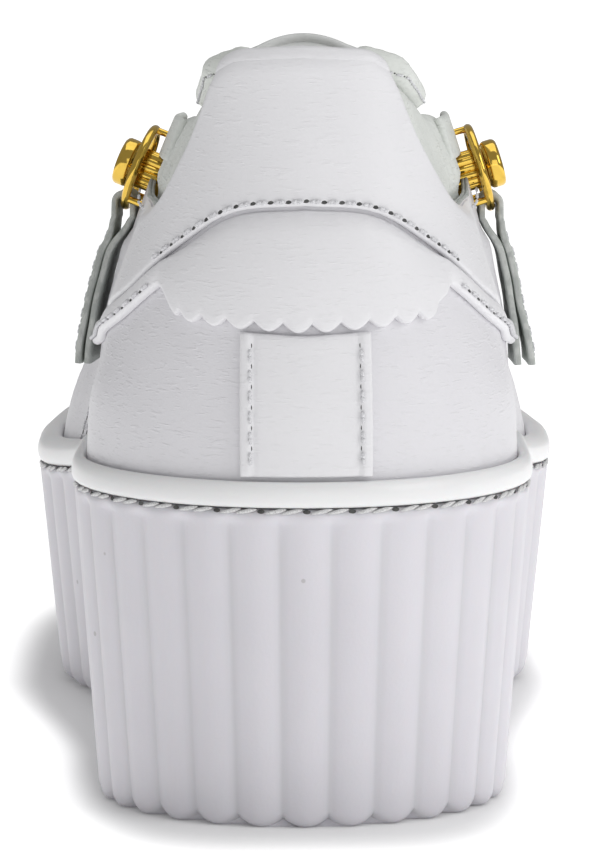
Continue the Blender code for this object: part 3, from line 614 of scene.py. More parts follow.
@dataclass(frozen=True)
class Metal:
    """Polished gilt metal with faint tumbling marks and a slightly duller tone in places."""

    name: str
    colour: Colour
    dull: Colour
    roughness: float = 0.10

    def make(self) -> Any:
        """Build the material."""
        paint = Paint(self.name)
        cloud = paint.noise(0.0026, 3).step(0.45, 0.8)
        marks = paint.noise(0.00035, 2, paint.place((1.0, 1.0, 0.35)))
        paint.set(
            Base_Color=paint.blend(cloud * 0.5, self.colour, self.dull),
            Metallic=1.0,
            Roughness=cloud * 0.10 + self.roughness,
            Normal=paint.bump(marks, 0.000008),
        )
        return paint.material


@dataclass(frozen=True)
class Thread:
    """Waxed thread: fine fibres across a matt strand."""

    name: str
    colour: Colour
    shade: Colour
    fibre: float = 0.00022

    def make(self) -> Any:
        """Build the material."""
        paint = Paint(self.name)
        fibres = paint.noise(self.fibre, 3)
        paint.set(
            Base_Color=paint.blend(fibres.step(0.3, 0.8), self.colour, self.shade),
            Roughness=fibres * 0.2 + 0.5,
            Normal=paint.bump(fibres, 0.00005),
        )
        return paint.material


@dataclass(frozen=True)
class RawEdge:
    """A cut leather edge under thin paint: lumpy, with loose fibres showing through."""

    name: str
    colour: Colour
    fibre_colour: Colour
    grain: float = 0.0005

    def make(self) -> Any:
        """Build the material."""
        paint = Paint(self.name)
        fibres = paint.noise(self.grain, 5)
        patches = paint.noise(0.0024, 3).step(0.42, 0.62)
        paint.set(
            Base_Color=paint.blend(patches * 0.8, self.colour, self.fibre_colour),
            Roughness=fibres * 0.3 + 0.55,
            Normal=paint.bump(fibres, 0.00016),
        )
        return paint.material


@dataclass(frozen=True)
class Textile:
    """A woven lining: two crossed sets of fine threads."""

    name: str
    colour: Colour
    shade: Colour
    pitch: float = 0.0007

    def make(self) -> Any:
        """Build the material."""
        paint = Paint(self.name)
        waves = []
        for direction in ("X", "Y"):
            settings = {"wave_type": "BANDS", "bands_direction": direction}
            inputs = {"Vector": paint.place(), "Scale": 0.5 / self.pitch, "Distortion": 0.4}
            waves.append(paint.node("ShaderNodeTexWave", settings, inputs).out("Fac"))
        weave = waves[0] * waves[1]
        paint.set(
            Base_Color=paint.blend(paint.noise(0.01, 3) * 0.5 + weave * 0.4, self.colour, self.shade),
            Roughness=weave * 0.1 + 0.75,
            Normal=paint.bump(weave, 0.00008),
            Sheen_Weight=0.2,
        )
        return paint.material


class Finish(Enum):
    """The finishes of this shoe, each made once."""

    UPPER = Leather("coated_upper", (0.710, 0.702, 0.730), (0.680, 0.672, 0.700))
    OVERLAY = Leather("coated_overlay", (0.755, 0.750, 0.770), (0.725, 0.720, 0.740), wrinkle_depth=0.00004)
    COLLAR = Leather(
        "pebbled_collar",
        (0.69, 0.71, 0.68),
        (0.58, 0.60, 0.57),
        roughness=0.56,
        grain=0.0011,
        grain_depth=0.00010,
        wrinkle_depth=0.00010,
        coat=0.0,
    )
    TONGUE = Leather("soft_tongue", (0.68, 0.69, 0.68), (0.58, 0.59, 0.58), roughness=0.52)
    STRAP = Leather("strap_hide", (0.47, 0.50, 0.47), (0.37, 0.40, 0.375), roughness=0.6, coat=0.0)
    # The third colour of each rubber is painted shade, mixed in by the mesh's crevice value: the platform's
    # valleys, shoulder groove and hem.
    SOLE = Rubber("platform_rubber", (0.670, 0.655, 0.697), (0.645, 0.630, 0.672), (0.51, 0.51, 0.52))
    WELT = Rubber("welt_rubber", (0.81, 0.81, 0.815), (0.78, 0.78, 0.785), (0.58, 0.58, 0.57), 0.32)
    GILT = Metal("gilt", (0.72, 0.48, 0.09), (0.36, 0.23, 0.03))
    WELT_THREAD = Thread("welt_thread", (0.74, 0.74, 0.74), (0.44, 0.44, 0.44))
    FINE_THREAD = Thread("fine_thread", (0.76, 0.76, 0.78), (0.46, 0.46, 0.48))
    EDGE = RawEdge("edge_paint", (0.36, 0.38, 0.365), (0.50, 0.515, 0.50))
    STRAP_EDGE = RawEdge("strap_edge_paint", (0.40, 0.42, 0.40), (0.56, 0.575, 0.55))
    # Painted shade: each needle hole is a near-black lump that stands for the shade inside the hole.
    HOLE = RawEdge("needle_hole_shade", (0.045, 0.045, 0.045), (0.09, 0.09, 0.088))
    LINING = Textile("insole_lining", (0.60, 0.595, 0.57), (0.48, 0.475, 0.45))

    def material(self) -> Any:
        """This finish's material, built on first use."""
        found = bpy.data.materials.get(self.value.name)
        return found or self.value.make()


def sheet(
    columns: Array,
    rows: Array,
    place: Callable[[Array, Array], Array],
    crevice: Callable[[Array, Array], Array] | None = None,
) -> bmesh.types.BMesh:
    """Lay a grid on a surface.

    Args:
        columns: Places along the grid's first direction, in order.
        rows: Places along its second direction, in order.
        place: Turns a column value and a row value for each vertex into a point in space.
        crevice: Gives each vertex its share of painted shade, from 0 to 1.

    Returns:
        A bmesh whose vertices lie on the surface.
    """
    bm = bmesh.new()
    bmesh.ops.create_grid(bm, x_segments=len(columns) - 1, y_segments=len(rows) - 1, size=0.5)
    layer = bm.verts.layers.float.new("crevice")
    flat = np.array([vert.co[:] for vert in bm.verts])
    across = columns[np.rint((flat[:, 0] + 0.5) * (len(columns) - 1)).astype(int)]
    along = rows[np.rint((flat[:, 1] + 0.5) * (len(rows) - 1)).astype(int)]
    shades = np.zeros(len(flat)) if crevice is None else crevice(across, along)
    for vert, point, shade in zip(bm.verts, place(across, along), shades):
        vert.co = point
        vert[layer] = shade
    return bm


def weld(bm: bmesh.types.BMesh, reach: float = 1e-6) -> None:
    """Merge what lies on one spot, such as the seam of a ring or a pole, and point the faces out."""
    bmesh.ops.remove_doubles(bm, verts=bm.verts, dist=reach)
    bmesh.ops.recalc_face_normals(bm, faces=bm.faces)


def loops(count: int) -> Array:
    """Places once round a ring whose last repeats its first."""
    return np.linspace(0, 1, count + 1)


def between(at: Array | float, keys: Array, points: Array) -> Array:
    """Points of a path at places among the keys of its rows."""
    return np.column_stack([np.interp(at, keys, points[:, axis]) for axis in range(3)])


def close_ends(bm: bmesh.types.BMesh, reach: float = 1e-7) -> None:
    """Merge what lies on one spot, close each open end with a face and point the faces out."""
    bmesh.ops.remove_doubles(bm, verts=bm.verts, dist=reach)
    ends = [edge for edge in bm.edges if edge.is_boundary]
    bmesh.ops.holes_fill(bm, edges=ends, sides=len(ends))
    bmesh.ops.recalc_face_normals(bm, faces=bm.faces)


def pipe(path: Array, radius: Array | float, sides: int) -> bmesh.types.BMesh:
    """Sweep a round section along an open path.

    Args:
        path: Points of the path, which never runs straight up.
        radius: One radius, or one for each point.
        sides: Corners of the section.

    Returns:
        A closed bmesh.
    """
    tangent = unit(np.gradient(path, axis=0))
    side = unit(np.cross(tangent, (0.0, 0.0, 1.0)))
    top = np.cross(side, tangent)
    radii = np.broadcast_to(np.asarray(radius, float), (len(path),))

    def place(index: Array, share: Array) -> Array:
        """Points of the pipe's skin."""
        index = index.astype(int)
        turn = share * math.tau
        reach = side[index] * np.cos(turn)[:, None] + top[index] * np.sin(turn)[:, None]
        return path[index] + reach * radii[index][:, None]

    bm = sheet(np.arange(len(path)), loops(sides), place)
    close_ends(bm)
    return bm


def merge(target: bmesh.types.BMesh, source: bmesh.types.BMesh, slot: int = 0) -> None:
    """Add one bmesh to another, with its faces in one material slot, and free it."""
    for face in source.faces:
        face.material_index = slot
    mesh = bpy.data.meshes.new("part")
    source.to_mesh(mesh)
    source.free()
    target.from_mesh(mesh)
    bpy.data.meshes.remove(mesh)


def finish_piece(name: str, bm: bmesh.types.BMesh, finishes: Sequence[Finish], angle: float = 40.0) -> Any:
    """Turn a bmesh into a smooth-shaded object at the origin, and free the bmesh.

    Args:
        name: Name of the object.
        bm: Its shape, in the shoe's frame.
        finishes: Finishes of its material slots, in order.
        angle: Edges that turn more than this many degrees stay sharp.

    Returns:
        The object.
    """
    mesh = bpy.data.meshes.new(name)
    bm.to_mesh(mesh)
    bm.free()
    mesh.shade_smooth()
    mesh.set_sharp_from_angle(angle=math.radians(angle))
    for finish in finishes:
        mesh.materials.append(finish.material())
    piece = bpy.data.objects.new(name, mesh)
    bpy.context.scene.collection.objects.link(piece)
    return piece


def report(
    piece: Any,
    replaced: Sequence[str] = (),
) -> None:
    """Tell the frame what it has to know of a piece.

    Args:
        piece: The finished object.
        replaced: Nodes of the record that it stands for.
    """
    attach(piece, BODY)
    if replaced:
        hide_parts(*replaced)
    LOG.info("%s: %d faces", piece.name, len(piece.data.polygons))


@dataclass(frozen=True)
class Seam:
    """A row of stitches: thread that shows in short lengths between needle holes."""

    pitch: float
    length: float
    radius: float
    sink: float
    hole: float
    twist: float = 0.20
    strand: float = 0.31
    strand_apart: float = 0.20
    hole_stretch: float = 1.7
    hole_depth: float = 0.16
    hole_lift: float = 0.04

    def make(self, bm: bmesh.types.BMesh, path: Array, normal: Array, slots: Sequence[int] = (0, 1)) -> None:
        """Add the stitches and their needle holes to a bmesh.

        Args:
            bm: Where the stitches go.
            path: Points along the seam on the surface, close together.
            normal: Outward directions of the surface at those points.
            slots: Material slots of the thread and of the holes.
        """
        steps = np.linalg.norm(np.diff(path, axis=0), axis=1)
        walked = np.concatenate(([0.0], np.cumsum(steps)))
        count = max(1, int(walked[-1] / self.pitch))
        for middle in (np.arange(count) + 0.5) * walked[-1] / count:
            spots = between((middle - self.length / 2, middle, middle + self.length / 2), walked, path)
            out = unit(between(middle, walked, normal))[0]
            along = unit(spots[2] - spots[0])
            side = unit(np.cross(out, along))
            out = np.cross(along, side)
            centre = spots[1] + out * self.radius * (1 - 2 * self.sink)
            leaning = unit(along + side * self.twist)
            axes = (leaning, np.cross(out, leaning), out)
            size = (self.length * self.strand, self.radius, self.radius)
            for part in (-1, 1):
                lump(bm, size, axes, centre + along * part * self.length * self.strand_apart, slots[0])
            # The needle hole is a flat dark lump on the surface, its colour painted shade for the hole.
            spot = spots[2] + along * (self.pitch - self.length) / 2 + out * self.hole * self.hole_lift
            size = (self.hole * self.hole_stretch, self.hole, self.hole * self.hole_depth)
            lump(bm, size, (along, side, out), spot, slots[1])


def lump(
    bm: bmesh.types.BMesh,
    size: tuple[float, float, float],
    axes: tuple[Array, Array, Array],
    centre: Array,
    slot: int,
) -> None:
    """Add a small rounded body with few faces.

    Args:
        bm: Where it goes.
        size: Its half lengths along the three axes.
        axes: Its three directions, square to each other.
        centre: Its middle.
        slot: Material slot of its faces.
    """
    turn = Matrix(np.column_stack([axis * reach for axis, reach in zip(axes, size)]).tolist())
    place = Matrix.Translation(Vector(centre)) @ turn.to_4x4()
    made = bmesh.ops.create_icosphere(bm, subdivisions=1, radius=1.0, matrix=place)
    for vert in made["verts"]:
        for face in vert.link_faces:
            face.material_index = slot


Edge = Callable[[Array, Array], Array]


def circle(share: Array) -> Array:
    """Height of a quarter circle over its width."""
    return np.sqrt(np.clip(1 - (1 - np.clip(share, 0, 1)) ** 2, 0, 1))


def level(value: float) -> Edge:
    """An offset that is the same everywhere."""
    return lambda q, up: np.full(q.shape, value)


@dataclass
class Slab:
    """A layer that lies on the last between two edges, rounded along all its borders."""

    q: Array
    low: Array
    high: Array
    inner: Edge
    outer: Edge
    rows: int = 10
    border: float = 0.6 * MM

    STEPS = (0.0, 0.05, 0.2, 0.5)

    def columns(self) -> Array:
        """Places q of the layer's columns, close together at its two ends."""
        reach = self.border / LAST.round_length
        steps = np.array((*self.STEPS, 1.0)) * reach
        first = self.q[0]
        last = self.q[-1]
        middle = self.q[(self.q > first + 1.4 * reach) & (self.q < last - 1.4 * reach)]
        return np.concatenate((first + steps, middle, (last - steps)[::-1]))

    def build(self) -> bmesh.types.BMesh:
        """Make the layer as a closed bmesh."""
        columns = self.columns()
        low = np.interp(columns, self.q, self.low)
        high = np.interp(columns, self.q, self.high)
        height = np.linalg.norm(LAST.form(columns, high) - LAST.form(columns, low), axis=1)
        height = np.maximum(height, 2.1 * self.border)
        steps = np.array(self.STEPS)
        ones = np.ones(len(steps))
        shares = np.linspace(0, 1, self.rows)
        first = np.concatenate((steps, np.ones(self.rows), ones))
        share = np.concatenate((0 * ones, shares, ones))
        last = np.concatenate((0 * ones, np.zeros(self.rows), (1 - steps)[::-1]))
        count = len(share)

        def place(q: Array, row: Array) -> Array:
            """Points of the layer: rows run up its outside and down its inside."""
            row = row.astype(int)
            back = row >= count
            index = np.where(back, 2 * (count - 1) - row, row)
            tall = np.interp(q, columns, height)
            walked = self.border * (first + last)[index] + share[index] * (tall - 2 * self.border)
            up = walked / tall
            ends = np.minimum(q - columns[0], columns[-1] - q) * LAST.round_length / self.border
            swell = circle(first[index]) * circle(1 - last[index]) * circle(ends)
            bottom = np.interp(q, columns, low)
            v = bottom + (np.interp(q, columns, high) - bottom) * up
            outside = self.outer(q, up)
            inside = self.inner(q, up)
            half = np.where(back, -1, 1) * (outside - inside) / 2 * swell
            return LAST.form(q, v) + LAST.normal(q, v) * ((outside + inside) / 2 + half)[:, None]

        bm = sheet(columns, np.arange(2 * count - 1), place)
        weld(bm, 2e-6)
        return bm


def seam_on_last(q: Array, v: Array, offset: float | Array) -> tuple[Array, Array]:
    """Points and directions of a line on the last, for a seam.

    Args:
        q: Places round the shoe.
        v: Places up it.
        offset: How far out of the last the line lies.

    Returns:
        Points and outward directions.
    """
    normal = LAST.normal(q, v)
    return LAST.form(q, v) + normal * np.broadcast_to(offset, q.shape)[:, None], normal


@dataclass
class Platform:
    """The moulded platform: reeded wall, scalloped hem, shoulder groove and grooved tread."""

    ribs: int = 70
    samples: int = 12
    depth: float = 1.0 * MM
    roundness: float = 1.9
    draft: float = 4.2 * MM
    shoulder: float = 1.5 * MM
    hem_rise: float = 1.3 * MM
    hem_round: float = 1.7 * MM
    hem_round_ball: float = 3.4 * MM
    hem_flat: float = 4.5 * MM
    groove_depth: float = 1.8 * MM
    groove_width: float = 3.5 * MM
    groove_pitch: float = 12.5 * MM
    groove_margin: float = 13.0 * MM
    ball_tread: float = 123.5 * MM

    def downs(self) -> Array:
        """Shares of the wall's height of its rows, close together where it turns."""
        top = (0.0, 0.002, 0.005, 0.009, 0.014, 0.02, 0.027, 0.034, 0.042, 0.052, 0.066, 0.09, 0.13)
        foot = (0.92, 0.935, 0.95, 0.963, 0.974, 0.982, 0.989, 0.995, 1.0)
        return np.concatenate((top, np.linspace(0.19, 0.90, 10), foot))

    def valley(self, q: Array) -> Array:
        """How deep in a valley between two ribs each place lies, from 0 to 1."""
        phase = np.mod(q * self.ribs + 0.5, 1.0)
        return np.abs(2 * phase - 1) ** self.roundness

    def wall(self, q: Array, down: Array) -> Array:
        """Points of the wall at places q and shares of its height."""
        place = LAST.outline(q)
        along = place[:, 2]
        valley = self.valley(q)
        ribbed = ease(down, 0.012, 0.052)
        front = ease(along, 0.34, 0.56)
        hem_share = 0.038 + 0.042 * front
        turn = np.clip((down - 1 + hem_share) / hem_share, 0, 1)
        inset = down * self.draft + self.shoulder * (1 - circle(down / 0.034)) + ribbed * valley * self.depth
        hem_round = self.hem_round + (self.hem_round_ball - self.hem_round) * front
        inset = inset + hem_round * (1 - np.sqrt(1 - 0.98 * turn**2))
        top = LAST.platform_top(along)
        hem = ease(down, 0.9, 1.0) * valley * self.hem_rise
        height = top + (LAST.platform_foot(along) - top) * down + hem
        return np.column_stack((place[:, 0] - place[:, 3] * inset, place[:, 1] - place[:, 4] * inset, height))

    def shade(self, q: Array, down: Array) -> Array:
        """Painted shade on the wall: darker in its valleys, in its shoulder groove and at its hem."""
        valley = ease(self.valley(q), 0.5, 1.0) * ease(down, 0.03, 0.12) * 0.45
        return np.clip(valley + 0.8 * (1 - ease(down, 0.0, 0.02)) + 0.35 * ease(down, 0.97, 1.0), 0, 1)

    def grooves(self, point: Array) -> Array:
        """Depth of the tread's grooves at points of it."""
        middles = [(index - 1.5) * self.groove_pitch for index in range(5)]
        middles += [self.ball_tread + (index - 2.5) * self.groove_pitch for index in range(6)]
        depth = np.zeros(len(point))
        for middle in middles:
            aside = np.abs(point[:, 1] - middle)
            border = self.groove_width / 2
            depth = np.maximum(depth, 1 - ease(aside, border - 0.4 * MM, border + 0.5 * MM))
        return depth * self.groove_depth

    def across(self, q: Array, share: Array, down: float) -> tuple[Array, Array]:
        """Points between the lateral and the medial wall, and their distances from the nearer one."""
        medial = self.wall(q, np.full(q.shape, down))
        lateral = self.wall(-q, np.full(q.shape, down))
        width = np.linalg.norm(medial - lateral, axis=1)
        point = lateral + (medial - lateral) * share[:, None]
        return point, np.minimum(share, 1 - share) * width

    def tread(self, q: Array, share: Array) -> Array:
        """Points of the tread."""
        point, inside = self.across(q, share, 1.0)
        foot = LAST.platform_foot(LAST.outline(q)[:, 2])
        flat = ease(inside, 0.0, self.hem_flat)
        margin = ease(inside, self.groove_margin - 1.0 * MM, self.groove_margin + 1.0 * MM)
        fine = 0.18 * MM * np.sin(point[:, 0] * math.tau / (4.5 * MM)) ** 2 * margin
        point[:, 2] += (foot - point[:, 2]) * flat + self.grooves(point) * margin + fine
        return point

    def top(self, q: Array, share: Array) -> Array:
        """Points of the platform's top, under the insole."""
        point, _ = self.across(q, share, 0.0)
        return point

    def make(self) -> None:
        """Build the platform."""
        count = self.ribs * self.samples
        bm = bmesh.new()
        merge(bm, sheet(loops(count), self.downs(), self.wall, self.shade))
        half = np.arange(count // 2 + 1) / count
        edge = np.array((0.0, 0.008, 0.02, 0.04, 0.065, 0.1, 0.14, 0.18))
        shares = np.concatenate((edge, np.linspace(0.22, 0.78, 17), (1 - edge)[::-1]))
        merge(bm, sheet(half, shares, self.tread))
        merge(bm, sheet(half, np.linspace(0, 1, 5), self.top))
        weld(bm, 3e-6)
        report(finish_piece("reeded_platform", bm, [Finish.SOLE], 60), ["platform_sole"])


@dataclass
class Welt:
    """The bright roll round the foot of the upper, and the thick thread sewn under it."""

    samples: int = 620
    bulge: float = 0.35 * MM
    seam: Seam = Seam(7.5 * MM, 6.7 * MM, 0.40 * MM, 0.20, 0.42 * MM)
    seam_inset: float = 0.55 * MM
    seam_drop: float = 0.30 * MM

    SECTION = (
        # out, up
        (0.00, 0.00),
        (0.45, 0.00),
        (0.74, 0.01),
        (0.90, 0.09),
        (0.98, 0.22),
        (1.00, 0.38),
        (0.99, 0.55),
        (0.93, 0.72),
        (0.80, 0.87),
        (0.62, 0.97),
        (0.42, 1.00),
        (0.20, 0.97),
        (0.00, 0.88),
        (0.00, 0.40),
        (0.00, 0.00),
    )

    def roll(self, q: Array, index: Array) -> Array:
        """Points of the roll."""
        section = np.array(self.SECTION)[index.astype(int)]
        place = LAST.outline(q)
        along = place[:, 2]
        height = LAST.platform_top(along) + LAST.gap + section[:, 1] * LAST.lip_height(along)
        v = LAST.v_at_height(q, height)
        point = LAST.form(q, v) + LAST.normal(q, v) * LAST.gap
        reach = section[:, 0]
        outside = place[:, :2] + place[:, 3:5] * self.bulge
        point[:, :2] += (outside - point[:, :2]) * reach[:, None]
        point[:, 2] = height
        return point

    def make(self) -> None:
        """Build the roll and its thread."""
        bm = sheet(loops(self.samples), np.arange(len(self.SECTION)), self.roll)
        weld(bm, 2e-6)
        report(finish_piece("rolled_welt", bm, [Finish.WELT], 80), ["welt_roll"])
        place = LAST.outline(loops(2400))
        path = np.column_stack(
            (
                place[:, 0] - place[:, 3] * self.seam_inset,
                place[:, 1] - place[:, 4] * self.seam_inset,
                LAST.platform_top(place[:, 2]) - self.seam_drop,
            )
        )
        normal = unit(np.column_stack((place[:, 3], place[:, 4], np.full(len(place), 0.25))))
        bm = bmesh.new()
        self.seam.make(bm, path, normal)
        report(finish_piece("welt_stitching", bm, [Finish.WELT_THREAD, Finish.HOLE], 80))


@dataclass
class Upper:
    """The hollow leather upper: outside, lining and a painted edge that shows its two layers."""

    wall: float = 2.2 * MM
    skived_outside: float = 0.9 * MM
    skived_leather: float = 1.2 * MM
    skived_reach: float = 2.3
    skived_blend: float = 3.0 * MM
    link_rise: float = 50.0 * MM
    link_radius: float = 7.2 * MM
    wire: float = 0.8 * MM
    bead: float = 0.35 * MM
    rows: int = 44
    fine: Seam = Seam(3.1 * MM, 2.1 * MM, 0.28 * MM, 0.25, 0.34 * MM)

    VAMP_SEAM = (
        # share up, w
        (0.00, 0.520),
        (0.35, 0.505),
        (0.70, 0.470),
        (1.00, 0.425),
    )

    def skiving(self, point: Array, q: Array) -> Array:
        """How far each point lies in the thinned leather at a link."""
        w, _ = LAST.share_of(q)
        aside = np.abs(w - LAST.link_w) * LAST.round_length / 2
        near = np.clip(self.skived_reach - aside / (self.link_radius + self.wire), 0, 1)
        foot = LAST.platform_heel + self.link_rise - self.link_radius - 3 * self.wire
        high = np.clip((point[:, 2] - foot) / self.skived_blend + 1, 0, 1)
        return near * high

    def creases(self, q: Array, point: Array) -> Array:
        """Low folds of worn-in leather, out of the last in metres."""
        w, _ = LAST.share_of(q)
        flex = ease(w, 0.52, 0.62) * (1 - ease(w, 0.74, 0.86))
        folds = np.sin(point[:, 1] * math.tau / (9 * MM) + 2.0 * np.sin(point[:, 0] * 90)) * 0.16 * MM * flex
        ankle = ease(w, 0.10, 0.18) * (1 - ease(w, 0.30, 0.40))
        rows = np.sin(point[:, 2] * math.tau / (13 * MM) + 1.4 * np.sin(point[:, 1] * 70)) * 0.10 * MM
        return folds + rows * ankle

    def outside(self, q: Array, share: Array) -> Array:
        """Points of the leather's outside."""
        v = self.edge(q) * share
        point = LAST.form(q, v)
        thin = self.skiving(point, q)
        still = ease(share, 0.02, 0.12) * (1 - ease(share, 0.88, 0.98)) * (1 - thin)
        shift = self.creases(q, point) * still - self.skived_outside * thin
        return point + LAST.normal(q, v) * shift[:, None]

    def inside(self, q: Array, share: Array) -> Array:
        """Points of the lining."""
        v = self.edge(q) * share
        point = LAST.form(q, v)
        thin = self.skiving(point, q)
        shift = self.wall * (1 - thin) + (self.skived_outside + self.skived_leather) * thin
        found = point - LAST.normal(q, v) * shift[:, None]
        seat = LAST.platform_top(LAST.outline(q)[:, 2]) + LAST.gap
        found[:, 2] = np.where(share == 0, seat, np.maximum(found[:, 2], seat + share * MM))
        return found

    def edge(self, q: Array) -> Array:
        """Place v of the top edge, read from a table worked out once."""
        return np.interp(np.mod(q, 1.0), self.edge_q, self.edge_table)

    def rim(self, q: Array, share: Array) -> Array:
        """Points of the cut edge: two layers with a fine line between them."""
        ones = np.ones(q.shape)
        outer = self.outside(q, ones)
        inner = self.inside(q, ones)
        point = outer + (inner - outer) * share[:, None]
        point[:, 2] += self.bead * np.abs(np.sin(share * math.tau)) ** 0.6
        return point

    def foot(self, q: Array, share: Array) -> Array:
        """Points of the upper's foot, under the welt."""
        none = np.zeros(q.shape)
        outer = self.outside(q, none)
        return outer + (self.inside(q, none) - outer) * share[:, None]

    def make(self) -> None:
        """Build the upper and its fine stitching."""
        self.edge_q = np.linspace(0, 1, 1201)
        self.edge_table = LAST.edge_v(self.edge_q)
        q = self.places()
        rows = np.linspace(0, 1, self.rows)
        bm = bmesh.new()
        merge(bm, sheet(q, rows, self.outside), 0)
        merge(bm, sheet(q, rows, self.inside), 1)
        merge(bm, sheet(q, np.linspace(0, 1, 13), self.rim), 2)
        merge(bm, sheet(q, np.linspace(0, 1, 3), self.foot), 1)
        weld(bm, 2e-6)
        finishes = [Finish.UPPER, Finish.LINING, Finish.EDGE]
        report(finish_piece("leather_upper", bm, finishes, 50), ["upper"])
        self.stitch()

    def places(self) -> Array:
        """Places q of the columns, close together at the heel and at the links."""
        w = np.concatenate((np.linspace(0, 0.42, 150), np.linspace(0.42, 1, 90)[1:]))
        return np.concatenate((w / 2, 1 - w[-2::-1] / 2))

    def stitch(self) -> None:
        """Sew the quarters' top edges and the seam between quarter and vamp."""
        bm = bmesh.new()
        for side in Side:
            w = np.linspace(0.064, 0.316, 260)
            q = w / 2 * side.value
            v = LAST.v_at_height(q, LAST.form(q, self.edge(q))[:, 2] - 2.0 * MM)
            self.fine.make(bm, *seam_on_last(q, v, 0.0))
            w = np.linspace(0.42, 0.99, 400)
            q = w / 2 * side.value
            v = self.edge(q) * 0.965
            self.fine.make(bm, *seam_on_last(q, v, 0.0))
            for aside in (0.0, 0.009):
                share = np.linspace(0.07, 0.95, 220)
                q = (smooth(self.VAMP_SEAM, share)[:, 0] + aside) / 2 * side.value
                self.fine.make(bm, *seam_on_last(q, self.edge(q) * share, 0.0))
        report(finish_piece("quarter_stitching", bm, [Finish.FINE_THREAD, Finish.HOLE], 80))


